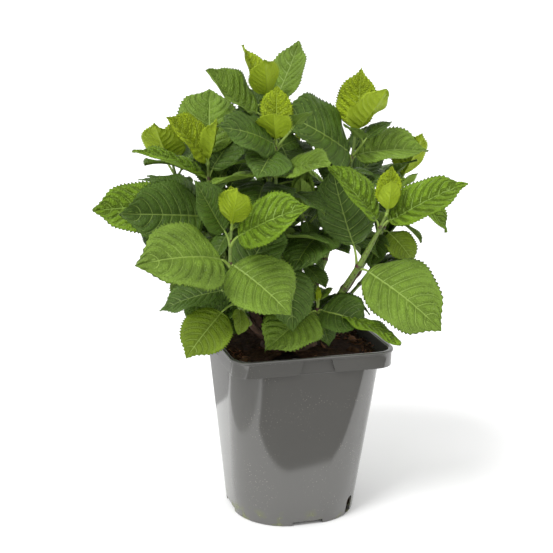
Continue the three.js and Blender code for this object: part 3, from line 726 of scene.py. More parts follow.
# ---- Leaf mesh ----------------------------------------------------------------------------------------------

# The fourth slot, for the faces beside the veins, is a darker copy of the blade: painted shade in the dips.
BLADE, VEIN, UNDER, SHADE_DIP = range(4)
TOOTH_DEPTH = 2.0


def pointed(s):
    """The outline with its tip drawn out."""
    return outline(s) * (1 - 0.34 * smooth(0.76, 0.93, s))


def margin_at(t):
    """Where the side vein that leaves the midrib at t meets the margin."""
    return 1 - (1 - t) ** 2.5


class LeafPattern:
    """The faces of a leaf, laid out once: rows follow the side veins, and the margin carries the teeth."""

    def __init__(self, veins, steps, columns, teeth):
        self.veins = veins
        rows = [(0.012, 0)]
        stops = [0.012, *veins, 0.985]
        for number, (low, high) in enumerate(zip(stops[:-1], stops[1:])):
            count = steps if 0 < number < len(veins) else max(1, steps - 1)
            rows += [(low + (high - low) * (k + 1) / (count + 1), 0) for k in range(count)]
            if number < len(veins):
                rows += [(high, -1), (high, 1)]
        rows.append((0.985, 0))
        self.t = np.array([row[0] for row in rows])
        self.offset = np.array([row[1] for row in rows], float)
        half_columns = np.array(columns)
        self.across = np.concatenate([-half_columns[::-1], [0], half_columns])
        self.teeth = teeth
        self.lay()

    def lay(self):
        rows, width = len(self.t), len(self.across)
        t = np.repeat(self.t[:, None], width, 1)
        a = np.repeat(self.across[None], rows, 0).copy()
        half = 0.5 * 100 * 0.7 * np.maximum(outline(t), 0.02)
        rib = np.clip((0.95 - 0.6 * t) / half, 0.01, 0.16)
        inner = np.isclose(np.abs(a), np.abs(self.across[width // 2 + 1]))
        a = np.where(inner, np.sign(a) * rib, a)
        reach = np.abs(a)
        s = t + (margin_at(t) - t) * (0.55 * reach + 0.45 * reach ** 2.4)
        s = s + self.offset[:, None] * 0.0038 * (1 - 0.6 * reach)
        u, teeth = self.margin()
        self.s = np.concatenate([s.ravel(), u, u[:-1]])
        side = np.where(u < 1, 1.0, 0.0)
        self.a = np.concatenate([a.ravel(), side, -side[:-1]])
        self.tooth = np.concatenate([np.zeros(a.size), teeth, -teeth[:-1]])
        self.grid = rows * width
        self.row_t = np.concatenate([t.ravel(), u, u[:-1]])
        self.is_grid = np.arange(len(self.s)) < self.grid
        margin = len(u)
        right = self.grid + np.arange(margin)
        left = np.append(self.grid + margin + np.arange(margin - 1), right[-1])
        quads, kinds = [], []
        for i in range(rows - 1):
            on_vein = self.offset[i] < 0 and self.offset[i + 1] > 0
            by_vein = self.offset[i] > 0 or self.offset[i + 1] < 0
            for j in range(width - 1):
                quads.append((i * width + j, (i + 1) * width + j, (i + 1) * width + j + 1, i * width + j + 1))
                on_rib = j in (width // 2 - 1, width // 2)
                # Faces beside the side veins and the midrib take the darker slot: painted shade in the dips.
                beside = by_vein and 0 < j < width - 2 or j in (width // 2 - 2, width // 2 + 1)
                kinds.append(VEIN if on_vein or on_rib else SHADE_DIP if beside else BLADE)
        s_grid = s.reshape(rows, width)
        tris = self.zip_up([i * width + width - 1 for i in range(rows)], s_grid[:, -1], right, u, False)
        tris += self.zip_up([i * width for i in range(rows)], s_grid[:, 0], left, u, True)
        last = (rows - 1) * width
        tris += [(last + j, right[-1], last + j + 1) for j in range(width - 1)]
        self.quads = np.array(quads)
        self.tris = np.array(tris)
        self.kinds = np.concatenate([kinds, np.full(len(tris), BLADE)])
        self.rim = np.append(right, left[:-1])
        self.base = [*range(width)]
        self.starts = (right[0], left[0])

    def margin(self):
        """The margin's points: s along it, and how far out each stands."""
        u, out = [0.004], [0.0]
        for k in range(self.teeth):
            low = 0.03 + 0.93 * k / self.teeth
            step = 0.93 / self.teeth
            size = smooth(0.02, 0.14, low) * (1 - 0.55 * smooth(0.8, 1.0, low))
            u += [low, low + 0.3 * step, low + 0.84 * step]
            out += [-0.3 * size, 0.15 * size, size]
        u += [0.965, 1.0]
        out += [0.0, 0.0]
        return np.array(u), np.array(out)

    @staticmethod
    def zip_up(inner, inner_s, outer, outer_s, turned):
        """Triangles between the last column and the margin."""
        faces = []
        i = k = 0
        while i < len(inner) - 1 or k < len(outer) - 1:
            inner_next = inner_s[i + 1] if i < len(inner) - 1 else math.inf
            outer_next = outer_s[k + 1] if k < len(outer) - 1 else math.inf
            if inner_next <= outer_next:
                face = (inner[i], inner[i + 1], outer[k])
                i += 1
            else:
                face = (inner[i], outer[k + 1], outer[k])
                k += 1
            faces.append(face[::-1] if turned else face)
        return faces


@lru_cache(maxsize=4)
def leaf_pattern(kind):
    if kind == "large":
        veins = (0.035, 0.11, 0.20, 0.30, 0.41, 0.52, 0.64, 0.77)
        return LeafPattern(veins, 3, (0.05, 0.15, 0.28, 0.42, 0.56, 0.7, 0.83, 0.94), 22)
    if kind == "small":
        return LeafPattern((0.06, 0.18, 0.33, 0.48, 0.63, 0.8), 2, (0.06, 0.22, 0.42, 0.62, 0.8, 0.93), 14)
    return LeafPattern((0.1, 0.35, 0.6), 1, (0.1, 0.5, 0.9), 8)


PUFFED = {LIME: 0.022, BRIGHT: 0.030, MIDDLE: 0.026, DARK: 0.020, OLIVE: 0.014}
CRINKLED = {LIME: 0.0050, BRIGHT: 0.0045, MIDDLE: 0.0022, DARK: 0.0018, OLIVE: 0.0016}


def leaf_relief(pattern, blade, random):
    """How far each point stands off the blade's smooth surface."""
    s, a = pattern.s, np.abs(pattern.a)
    length, tone = blade["length"], blade["tone"]
    phase = np.interp(pattern.row_t, [0, *pattern.veins, 1.0], np.arange(len(pattern.veins) + 2))
    cushion = np.abs(np.sin(math.pi * (phase % 1))) ** 0.8
    middle = np.sin(math.pi * np.clip(a, 0, 1) ** 0.75) * np.where(pattern.is_grid, 1, 0)
    p, q, r = random.uniform(0, 2 * math.pi, 3)
    swing = 1 + 0.35 * np.sin(5 * s + p) * np.sin(4 * pattern.a + q)
    lift = length * PUFFED[tone] * cushion * middle * swing
    pucker = np.sin(44 * s + 9 * pattern.a + p) * np.sin(26 * pattern.a - 13 * s + q)
    crinkle = random.normal(0, 1, len(s)) * np.where(a < 0.9, 1, 0.4)
    lift = lift + length * CRINKLED[tone] * (crinkle + 0.9 * pucker) * np.minimum(1, 3 * middle + 0.2)
    wave = length * random.uniform(0.012, 0.035) * a ** 3 * np.sin(2 * math.pi * 2.1 * s + r + pattern.a)
    broad = length * 0.03 * np.sin(2.6 * s + q) * np.sin(1.7 * pattern.a + p)
    groove = -0.009 * length * np.exp(-(a / 0.07) ** 2) * (1 - s)
    edge = -length * 0.03 * a ** 4 * (1 - s)
    return (lift + wave + edge + broad) * smooth(0.0, 0.08, s) + groove


def add_leaf(pile, blade, random, slots):
    """One leaf, closed: an upper and a lower skin that share the margin."""
    length = blade["length"]
    pattern = leaf_pattern("large" if length > LARGE_LEAF else "small" if length > SMALL_LEAF else "tiny")
    lift = leaf_relief(pattern, blade, random)
    s, a = pattern.s, pattern.a
    crook = random.uniform(-0.035, 0.035) * length
    twist = random.uniform(-0.16, 0.16)
    thick = 0.35 + 0.9 * np.exp(-(np.abs(a) / 0.06) ** 2) * (1 - s) + 0.2 * (1 - s)
    rim = np.zeros(len(s), bool)
    rim[pattern.rim] = True
    sway = crook * (s ** 2 - s)
    spin = twist * s * 0.5 * length * blade["breadth"] * pointed(s) * a
    arch = 0.5 if blade["pair"] > 1 else 0.25
    depth = TOOTH_DEPTH * min(1.0, length / 60)
    uneven = random.uniform(0.7, 1.25, len(s))
    swell = 1 + 0.05 * np.sin(5 * s + random.uniform(0, 6)) * np.sign(a) + random.uniform(-0.04, 0.04) * np.sign(a)
    beyond = pattern.tooth * depth * uneven

    def skin(height):
        points = blade_points(blade, s, a * swell, height, arch, beyond, pointed)
        return points + sway[:, None] * blade["side"]

    top = skin(lift + spin)
    under = skin(lift + spin - thick)
    low_number = np.where(rim, np.arange(len(s)), 0)
    inner = np.flatnonzero(~rim)
    low_number[inner] = len(s) + np.arange(len(inner))
    points = np.concatenate([top, under[inner]])
    low_quads = low_number[pattern.quads][:, ::-1]
    low_tris = low_number[pattern.tris][:, ::-1]
    base = pattern.base
    caps = [(base[j], base[j + 1], low_number[base[j + 1]], low_number[base[j]]) for j in range(len(base) - 1)]
    right, left = pattern.starts
    ends = [(base[-1], right, low_number[base[-1]]), (left, base[0], low_number[base[0]])]
    quads = len(pattern.quads)
    upper = slots[pattern.kinds]
    lower = np.where(pattern.kinds == VEIN, slots[VEIN], slots[UNDER])
    kinds = np.concatenate([
        upper[:quads], lower[:quads], np.full(len(caps), slots[VEIN]),
        upper[quads:], lower[quads:], np.full(len(ends), slots[VEIN]),
    ])
    faces = [
        np.concatenate([pattern.quads, low_quads, np.array(caps)]),
        np.concatenate([pattern.tris, low_tris, np.array(ends)]),
    ]
    pile.add(points, faces, kinds)


# ---- Materials ----------------------------------------------------------------------------------------------


class Shading:
    """A material's node tree, built link by link."""

    def __init__(self, name, colour, roughness, **sockets):
        self.material = bpy.data.materials.new(name)
        self.material.use_nodes = True
        self.nodes = self.material.node_tree.nodes
        self.links = self.material.node_tree.links
        self.shader = self.nodes["Principled BSDF"]
        self.shader.inputs["Base Color"].default_value = (*colour[:3], 1)
        self.shader.inputs["Roughness"].default_value = roughness
        for socket, value in sockets.items():
            self.shader.inputs[socket.replace("_", " ")].default_value = value
        self.place = self.nodes.new("ShaderNodeTexCoord").outputs["Object"]

    def new(self, kind, inputs=(), **values):
        node = self.nodes.new(kind)
        for key, value in values.items():
            setattr(node, key, value)
        for socket, value in dict(inputs).items():
            if isinstance(value, bpy.types.NodeSocket):
                self.links.new(value, node.inputs[socket])
            else:
                node.inputs[socket].default_value = value
        return node

    def noise(self, scale, detail=3.0, vector=None, roughness=0.5):
        inputs = {"Vector": vector or self.place, "Scale": scale, "Detail": detail, "Roughness": roughness}
        return self.new("ShaderNodeTexNoise", inputs).outputs["Fac"]

    def cells(self, scale, feature="F1", vector=None, output="Distance"):
        inputs = {"Vector": vector or self.place, "Scale": scale}
        return self.new("ShaderNodeTexVoronoi", inputs, feature=feature).outputs[output]

    def ramp(self, factor, stops):
        node = self.new("ShaderNodeValToRGB", {"Fac": factor})
        elements = node.color_ramp.elements
        while len(elements) < len(stops):
            elements.new(0.5)
        for element, (place, colour) in zip(elements, stops):
            element.position = place
            element.color = (*colour[:3], 1) if hasattr(colour, "__len__") else (colour, colour, colour, 1)
        return node.outputs["Color"]

    def mix(self, factor, one, other, blend="MIX"):
        node = self.new("ShaderNodeMix", data_type="RGBA", blend_type=blend)
        for socket, value in ((0, factor), (6, one), (7, other)):
            if isinstance(value, bpy.types.NodeSocket):
                self.links.new(value, node.inputs[socket])
            else:
                node.inputs[socket].default_value = (*value[:3], 1) if hasattr(value, "__len__") else value
        return node.outputs[2]

    def math(self, operation, one, other=0.0):
        return self.new("ShaderNodeMath", {0: one, 1: other}, operation=operation).outputs[0]

    def spread(self, factor, low, high, to_low=0.0, to_high=1.0):
        inputs = {"Value": factor, "From Min": low, "From Max": high, "To Min": to_low, "To Max": to_high}
        return self.new("ShaderNodeMapRange", inputs).outputs["Result"]

    def colour(self, socket):
        self.links.new(socket, self.shader.inputs["Base Color"])

    def roughness(self, socket):
        self.links.new(socket, self.shader.inputs["Roughness"])

    def bump(self, height, strength, distance):
        inputs = {"Height": height, "Strength": strength, "Distance": distance}
        node = self.new("ShaderNodeBump", inputs)
        self.links.new(node.outputs["Normal"], self.shader.inputs["Normal"])


def shade(colour, factor):
    return tuple(channel * factor for channel in colour[:3])


def blade_material(name, colour, roughness, net_shade, depth):
    """A leaf's surface: soft mottling, a fine net of veins and a waxy gloss."""
    look = Shading(name, colour, roughness, Specular_IOR_Level=0.18)
    mottle = look.noise(30.0, 4.0, roughness=0.6)
    tone = look.mix(look.spread(mottle, 0.32, 0.68), shade(colour, 0.74), shade(colour, 1.22))
    net = look.cells(330.0, "DISTANCE_TO_EDGE")
    lines = look.spread(net, 0.0, 0.14, 0.4, 0.0)
    look.colour(look.mix(lines, tone, shade(colour, net_shade)))
    look.roughness(look.spread(look.noise(70.0, 2.0), 0.3, 0.7, roughness - 0.06, roughness + 0.08))
    height = look.math("ADD", look.spread(net, 0.0, 0.3), look.noise(260.0, 2.0))
    look.bump(height, 0.8, depth)
    return look.material


def vein_material(name, colour):
    look = Shading(name, colour, 0.5)
    look.colour(look.mix(look.noise(60.0, 2.0), shade(colour, 0.85), shade(colour, 1.12)))
    return look.material


def under_material(name, colour):
    look = Shading(name, colour, 0.62, Specular_IOR_Level=0.3)
    net = look.cells(380.0, "DISTANCE_TO_EDGE")
    tone = look.mix(look.noise(45.0, 2.0), shade(colour, 0.9), shade(colour, 1.1))
    look.colour(look.mix(look.spread(net, 0.0, 0.14, 0.4, 0.0), tone, shade(colour, 1.35)))
    look.bump(look.spread(net, 0.0, 0.25, 1.0, 0.0), 0.4, 0.0006)
    return look.material


@lru_cache(maxsize=1)
def leaf_materials():
    """Four materials for each tone: the blade, its veins, its underside and a darker copy of the blade for the dips
    beside the veins, which is painted shade.
    """
    foliage = bpy.context.scene.hydrangea_foliage
    tones = [
        ("lime", foliage.lime, 0.5, 0.72, 0.0014), ("bright", foliage.bright, 0.46, 0.68, 0.0014),
        ("middle", foliage.middle, 0.42, 0.8, 0.0009), ("dark", foliage.dark, 0.38, 1.25, 0.0006),
        ("olive", foliage.olive, 0.48, 1.15, 0.0006),
    ]
    made = []
    for name, colour, roughness, net_shade, depth in tones:
        made.append(blade_material(f"blade_{name}", colour, roughness, net_shade, depth))
        young = 0.25 if name in ("lime", "bright") else 0.5
        vein = tuple((1 - young) * c + young * v for c, v in zip(colour[:3], foliage.vein[:3]))
        made.append(vein_material(f"vein_{name}", vein))
        pale = 0.1 if name == "lime" else 0.5
        under = tuple((1 - pale) * c + pale * u for c, u in zip(colour[:3], foliage.under[:3]))
        made.append(under_material(f"under_{name}", under))
        # A darker copy of the blade for the dips beside the veins: painted shade.
        shaded_dip = shade(colour, {"bright": 0.62, "middle": 0.84}.get(name, 0.8))
        made.append(blade_material(f"dip_{name}", shaded_dip, roughness, net_shade, depth))
    return made


@lru_cache(maxsize=1)
def stem_materials():
    """Woody bark, green stem with purple dashes, swollen node, and the smooth green of stalks and buds."""
    foliage = bpy.context.scene.hydrangea_foliage
    bark = Shading("bark_woody", foliage.bark, 0.85)
    uv = bark.nodes["Texture Coordinate"].outputs["UV"]
    streak = bark.new("ShaderNodeMapping", {"Vector": uv, "Scale": (9.0, 14.0, 1.0)}).outputs["Vector"]
    grain = bark.noise(1.6, 5.0, streak, 0.6)
    stops = ((0.3, shade(foliage.bark, 0.35)), (0.55, foliage.bark), (0.75, shade(foliage.bark, 2.1)))
    bark.colour(bark.ramp(grain, stops))
    bark.bump(grain, 0.6, 0.0012)

    green = Shading("stem_green", foliage.stem, 0.45)
    uv = green.nodes["Texture Coordinate"].outputs["UV"]
    dashes = green.new("ShaderNodeMapping", {"Vector": uv, "Scale": (9.0, 14.0, 1.0)}).outputs["Vector"]
    dash = green.cells(1.7, "F1", dashes)
    mask = green.spread(dash, 0.24, 0.32, 0.9, 0.0)
    tone = green.mix(green.noise(55.0, 3.0), shade(foliage.stem, 0.8), shade(foliage.stem, 1.2))
    green.colour(green.mix(mask, tone, foliage.dash))

    node = Shading("stem_node", foliage.dash, 0.6)
    blotch = node.spread(node.noise(190.0, 3.0), 0.42, 0.6)
    node.colour(node.mix(blotch, shade(foliage.dash, 1.3), shade(foliage.stem, 0.6)))

    stalk = Shading("stalk_green", foliage.stalk, 0.48)
    stalk.colour(stalk.mix(stalk.noise(70.0, 2.0), shade(foliage.stalk, 0.85), shade(foliage.stalk, 1.15)))
    return [bark.material, green.material, node.material, stalk.material]


WOODY, GREEN, NODE, STALK = range(4)


def plastic_material(settings):
    """Satin moulded plastic with fine speckles, faint scuffs and green film near the foot."""
    look = Shading("grey_plastic", settings.plastic, settings.gloss, Specular_IOR_Level=0.9)
    base = look.mix(look.noise(7.0, 3.0), shade(settings.plastic, 0.93), shade(settings.plastic, 1.07))
    speck = look.cells(330.0)
    chance = look.noise(26.0, 1.0)
    speckle = look.math("MULTIPLY", look.spread(speck, 0.1, 0.2, 0.6, 0.0), look.spread(chance, 0.5, 0.66))
    dusty = look.mix(speckle, base, (0.3, 0.27, 0.24))
    height = look.new("ShaderNodeSeparateXYZ", {"Vector": look.place}).outputs["Z"]
    low = look.spread(height, 0.004, 0.022, 1.0, 0.0)
    film = look.math("MULTIPLY", low, look.spread(look.noise(60.0, 4.0), 0.52, 0.66))
    look.colour(look.mix(film, dusty, (0.13, 0.15, 0.035)))
    stretch = look.new("ShaderNodeMapping", {"Vector": look.place, "Scale": (1.0, 1.0, 0.25)})
    scuff = look.noise(240.0, 3.0, stretch.outputs["Vector"])
    worn = look.math("ADD", look.spread(scuff, 0.6, 0.75, 0.0, 0.12), look.spread(film, 0.0, 1.0, 0.0, 0.3))
    look.roughness(look.math("ADD", worn, settings.gloss))
    look.bump(look.noise(900.0, 2.0), 0.06, 0.0004)
    return look.material


def compost_material(settings):
    look = Shading("compost_dark", settings.soil, 0.95, Specular_IOR_Level=0.15)
    crumbs = look.noise(160.0, 6.0, roughness=0.7)
    stops = ((0.3, shade(settings.soil, 0.3)), (0.52, settings.soil), (0.75, shade(settings.soil, 2.4)))
    look.colour(look.ramp(crumbs, stops))
    look.bump(crumbs, 1.0, 0.006)
    return look.material


def crumb_materials(settings):
    made = []
    for name, factor in (("crumb_dark", 0.7), ("crumb_brown", 1.8), ("crumb_tan", 4.2)):
        colour = shade(settings.soil, factor)
        look = Shading(name, colour, 0.9, Specular_IOR_Level=0.2)
        look.colour(look.mix(look.noise(420.0, 4.0), shade(colour, 0.55), shade(colour, 1.4)))
        look.bump(look.noise(700.0, 3.0), 0.7, 0.001)
        made.append(look.material)
    fibre = Shading("fibre_rust", settings.fibre, 0.8)
    fibre.colour(fibre.mix(fibre.noise(150.0, 2.0), shade(settings.fibre, 0.5), shade(settings.fibre, 1.3)))
    made.append(fibre.material)
    return made


# ---- Settings -----------------------------------------------------------------------------------------------


def length_setting(name, description, default):
    return FloatProperty(name=name, description=description, default=default, min=0.0, unit="LENGTH")


def colour_setting(name, description, default):
    return FloatVectorProperty(
        name=name, description=description, default=default, size=3, min=0.0, max=1.0, subtype="COLOR"
    )


class PotSettings(bpy.types.PropertyGroup):
    lip: length_setting("Lip height", "Height of the round bead at the rim", 0.0038)
    collar: length_setting("Collar height", "How far the collar hangs below the lip", 0.0165)
    wall: length_setting("Wall", "Thickness of the moulded wall", 0.002)
    foot: length_setting("Foot", "Half the breadth of the pot at its foot", 0.0765)
    shoulder: length_setting("Shoulder", "Half the breadth of the wall under the lip", 0.0954)
    gap: length_setting("Collar gap", "Plain stretch in the middle of each side", 0.034)
    plastic: colour_setting("Plastic", "Colour of the plastic", (0.098, 0.096, 0.090))
    gloss: FloatProperty(
        name="Roughness", description="Roughness of the plastic", default=0.11, min=0.0, max=1.0, subtype="FACTOR"
    )


class SoilSettings(bpy.types.PropertyGroup):
    soil: colour_setting("Compost", "Colour of the compost", (0.050, 0.024, 0.012))
    fibre: colour_setting("Fibres", "Colour of the root fibres", (0.28, 0.09, 0.03))
    crumbs: IntProperty(name="Crumbs", description="How many loose crumbs lie on top", default=1500, min=0)
    fibres: IntProperty(name="Fibres", description="How many fine fibres lie on top", default=220, min=0)


class FoliageSettings(bpy.types.PropertyGroup):
    lime: colour_setting("Youngest", "Leaves at the tips", (0.300, 0.405, 0.012))
    bright: colour_setting("Young", "Leaves of the second pair", (0.170, 0.290, 0.016))
    middle: colour_setting("Grown", "Full-grown leaves", (0.162, 0.262, 0.030))
    dark: colour_setting("Old", "The oldest leaves", (0.066, 0.122, 0.016))
    olive: colour_setting("Shaded", "Yellowish leaves in the shade", (0.135, 0.205, 0.012))
    vein: colour_setting("Veins", "Colour the veins tend to", (0.30, 0.42, 0.07))
    under: colour_setting("Underside", "Colour the undersides tend to", (0.20, 0.30, 0.05))
    bark: colour_setting("Bark", "Bark of the woody canes", (0.085, 0.043, 0.024))
    stem: colour_setting("Stem", "Skin of the green stems", (0.16, 0.24, 0.040))
    dash: colour_setting("Dashes", "Purple-brown marks on the stems", (0.055, 0.016, 0.016))
    stalk: colour_setting("Stalk", "Leaf stalks", (0.25, 0.36, 0.06))


class StudioSettings(bpy.types.PropertyGroup):
    floor: colour_setting("Floor", "Colour of the floor", (0.97, 0.97, 0.97))
    sky: FloatProperty(name="Sky", description="Strength of the light all round", default=1.0, min=0.0)
    key: FloatProperty(name="Key", description="Strength of the key light", default=1.9, min=0.0)
    spread: FloatProperty(name="Spread", description="Angle that the key light fills", default=24.0, min=1.0)
    heading: FloatProperty(name="Heading", description="Compass heading that the key light comes from", default=212.0)
    rise: FloatProperty(name="Rise", description="Angle of the key light above the level", default=52.0)
    card: length_setting("Card", "Breadth of the dark card that the pot reflects", 0.8)
    card_gap: length_setting("Card gap", "How far the card lies in front of the middle", 0.2)


# ---- Pot ----------------------------------------------------------------------------------------------------

CORNER_STEPS = 10
SIDE_TURNS = (0, 90, 180, 270)
DRAIN_TURNS = (135, 315)
DRAIN_SIZE = (30, 13, 21)
DRAIN_PLACE = (77, 0, 12.5)
NOTCH_SIZE = (38, 30, 10)
NOTCH_PLACE = (0, -77, 0)


def deselect_all():
    bpy.ops.object.select_all(action="DESELECT")


def select_vertices(piece, keep):
    """In edit mode, selects the vertices that keep says, given their numbers and places."""
    bpy.ops.object.mode_set(mode="OBJECT")
    count = len(piece.data.vertices)
    places = np.empty(count * 3, np.float32)
    piece.data.vertices.foreach_get("co", places)
    chosen = np.array(keep(np.arange(count), places.reshape(-1, 3) / MM), bool)
    edges = np.empty(len(piece.data.edges) * 2, np.int32)
    piece.data.edges.foreach_get("vertices", edges)
    corners = np.empty(len(piece.data.loops), np.int32)
    piece.data.loops.foreach_get("vertex_index", corners)
    piece.data.vertices.foreach_set("select", chosen)
    piece.data.edges.foreach_set("select", chosen[edges.reshape(-1, 2)].all(1))
    for face in piece.data.polygons:
        face.select = bool(chosen[list(face.vertices)].all())
    bpy.ops.object.mode_set(mode="EDIT")


def loft(name, rings, closed=False):
    """A wall through rounded squares, each (z, half, corner) in millimetres, bridged one to the next.

    Neighbours differ in height, because a bridge between level outlines can cross itself.
    """
    deselect_all()
    bpy.ops.mesh.primitive_plane_add(size=MM)
    piece = bpy.context.active_object
    piece.name = name
    bpy.ops.object.mode_set(mode="EDIT")
    bpy.ops.mesh.delete(type="VERT")
    for z, half, corner in rings:
        bpy.ops.mesh.primitive_plane_add(size=2 * half * MM, location=(0, 0, z * MM))
        bpy.ops.mesh.bevel(offset=corner * MM, segments=CORNER_STEPS, affect="VERTICES")
        bpy.ops.mesh.delete(type="ONLY_FACE")
    each = 4 * (CORNER_STEPS + 1)
    pairs = [(k, k + 1) for k in range(len(rings) - 1)]
    if closed:
        pairs.append((len(rings) - 1, 0))
    for one, other in pairs:
        select_vertices(piece, lambda number, place: (number // each == one) | (number // each == other))
        bpy.ops.mesh.bridge_edge_loops()
    if not closed:
        for end in (0, len(rings) - 1):
            select_vertices(piece, lambda number, place: number // each == end)
            bpy.ops.mesh.edge_face_add()
    bpy.ops.mesh.select_all(action="SELECT")
    bpy.ops.mesh.normals_make_consistent(inside=False)
    bpy.ops.object.mode_set(mode="OBJECT")
    return piece


def turn_piece(piece, turn):
    """Turns a piece about the pot's axis and keeps the turn in its mesh."""
    piece.rotation_euler.z = math.radians(turn)
    bpy.ops.object.transform_apply(location=False, rotation=True, scale=False)
    return piece


def pick(piece):
    """Selects a piece alone, for the operators that follow."""
    deselect_all()
    piece.select_set(True)
    bpy.context.view_layer.objects.active = piece


def block(name, size, place, turn=0.0):
    """A box in millimetres, turned about the pot's axis."""
    deselect_all()
    bpy.ops.mesh.primitive_cube_add(size=1)
    piece = bpy.context.active_object
    piece.name = name
    bpy.ops.object.mode_set(mode="EDIT")
    bpy.ops.transform.resize(value=[side * MM for side in size])
    bpy.ops.transform.translate(value=[at * MM for at in place])
    bpy.ops.object.mode_set(mode="OBJECT")
    return turn_piece(piece, turn)


def combine(piece, other, operation):
    """Joins or cuts by another mesh, which is used up."""
    pick(piece)
    change = piece.modifiers.new("combine", "BOOLEAN")
    change.object = other
    change.operation = operation
    change.solver = "EXACT"
    bpy.ops.object.modifier_apply(modifier=change.name)
    bpy.data.objects.remove(other)


def arch(turn):
    """The cutter of a drain hole: a block whose two upper edges are rounded."""
    piece = block("drain_cutter", DRAIN_SIZE, DRAIN_PLACE)
    bpy.ops.object.mode_set(mode="EDIT")
    select_vertices(piece, lambda number, place: place[:, 2] > 20)
    bpy.ops.mesh.select_mode(type="EDGE")
    bpy.ops.object.mode_set(mode="OBJECT")
    for edge in piece.data.edges:
        ends = [piece.data.vertices[v].co / MM for v in edge.vertices]
        edge.select = min(end.z for end in ends) > 20 and abs(ends[0].x - ends[1].x) > 1
    bpy.ops.object.mode_set(mode="EDIT")
    bpy.ops.mesh.bevel(offset=6 * MM, segments=6, affect="EDGES")
    bpy.ops.mesh.select_mode(type="VERT")
    bpy.ops.object.mode_set(mode="OBJECT")
    return turn_piece(piece, turn)


def wall_level(settings, z, inset=0.0):
    """The wall's outline at a height: nearly round at the foot, square at the shoulder."""
    foot, shoulder = settings.foot / MM, settings.shoulder / MM
    share = z / (POT_HEIGHT - settings.lip / MM)
    return (z, foot + (shoulder - foot) * share - inset, 65 + (50 - 65) * share - inset)


def pot_body(settings):
    """Foot ring, tapering wall, stepped collar, bead lip and inside, as one closed skin."""
    foot = settings.foot / MM
    wall, lip = settings.wall / MM, settings.lip / MM
    under = POT_HEIGHT - lip
    low = under - settings.collar / MM
    collar = POT_HALF - 1.6

    def level(z, inset=0.0):
        return wall_level(settings, z, inset)

    bead = [(0.0, 1.2), (0.1, 0.45), (0.35, 0.12), (0.65, 0.0), (0.85, 0.25), (0.95, 0.6), (0.99, 1.3)]
    bead_rings = [(under + lip * up, POT_HALF - inset, 24 - 0.5 * inset) for up, inset in bead]
    inner = [(1.0, 3.6), (0.93, 4.5), (0.75, 5.1), (0.2, 5.5)]
    inner_rings = [(under + lip * up, POT_HALF - inset, 23 - 0.3 * inset) for up, inset in inner]
    rings = [
        (0.0, 25.5, 25.4), (0.5, 26, 25.9), (4.9, 27, 26.9), (5.0, 67, 58), (0.6, foot - 6.6, 59.6),
        (0.05, foot - 6, 60), (0.0, foot - 0.8, 64), (0.25, foot - 0.2, 65), level(1.0), level(40),
        level(80), level(120), level(160), level(185), level(low - 0.8),
        (low - 0.1, level(low)[1] + 0.5, 46), (low, collar - 0.8, 23.2), (low + 0.25, collar - 0.2, 22.9),
        (low + 0.9, collar, 22.8), (under - 0.3, collar, 22.8), (under, collar + 0.2, 23),
        *bead_rings, *inner_rings, (low + 8, 94.0, 21), (low + 2, 93.0, 24), (low - 4, 91.5, 48),
        level(160, wall), level(120, wall), level(40, wall), level(9, wall), level(7.5, wall + 1.5),
        (7.4, 20, 19.9),
    ]
    return loft("pot", rings)


def gap_cutter(settings, turn):
    """What the collar lacks in the middle of a side: slanted ends, round at their lower corner."""
    half = settings.gap / MM / 2
    under = POT_HEIGHT - settings.lip / MM
    low = under - settings.collar / MM
    end = [(half + 8.2, 0.0), (half + 6.4, 0.3), (half + 5.0, 1.1), (half + 4.1, 2.4), (half + 3.6, 4.0)]
    right = [(x, low + up) for x, up in [(half + 8.2, -0.3), *end]] + [(half, under - 0.1)]
    shape = right + [(-x, z) for x, z in reversed(right)]
    front = [(x, -POT_HALF - 8, z) for x, z in shape]
    back = [(x, -wall_level(settings, z)[1], z) for x, z in shape]
    count = len(shape)
    sides = [(k, (k + 1) % count, count + (k + 1) % count, count + k) for k in range(count)]
    mesh = bpy.data.meshes.new("gap_cutter")
    faces = [tuple(reversed(range(count))), tuple(range(count, 2 * count)), *sides]
    mesh.from_pydata([[side * MM for side in point] for point in front + back], [], faces)
    cutter = bpy.data.objects.new("gap_cutter", mesh)
    bpy.context.scene.collection.objects.link(cutter)
    pick(cutter)
    bpy.ops.object.mode_set(mode="EDIT")
    bpy.ops.mesh.select_all(action="SELECT")
    bpy.ops.mesh.normals_make_consistent(inside=False)
    bpy.ops.object.mode_set(mode="OBJECT")
    return turn_piece(cutter, turn)


class HYDRANGEA_OT_pot(bpy.types.Operator):
    """Model the nursery pot"""

    bl_idname = "hydrangea.pot"
    bl_label = "Pot"

    def execute(self, context):
        settings = context.scene.hydrangea_pot
        pot = pot_body(settings)
        for turn in SIDE_TURNS:
            combine(pot, gap_cutter(settings, turn), "DIFFERENCE")
            combine(pot, block("notch_cutter", NOTCH_SIZE, NOTCH_PLACE, turn), "DIFFERENCE")
        for turn in DRAIN_TURNS:
            combine(pot, arch(turn), "DIFFERENCE")
        pot.data.materials.clear()
        pot.data.materials.append(plastic_material(settings))
        pick(pot)
        bpy.ops.object.shade_smooth_by_angle(angle=math.radians(32))
        finish_piece(pot, ["pot"])
        pot.name = "nursery_pot"
        return {"FINISHED"}


# ---- Compost ------------------------------------------------------------------------------------------------


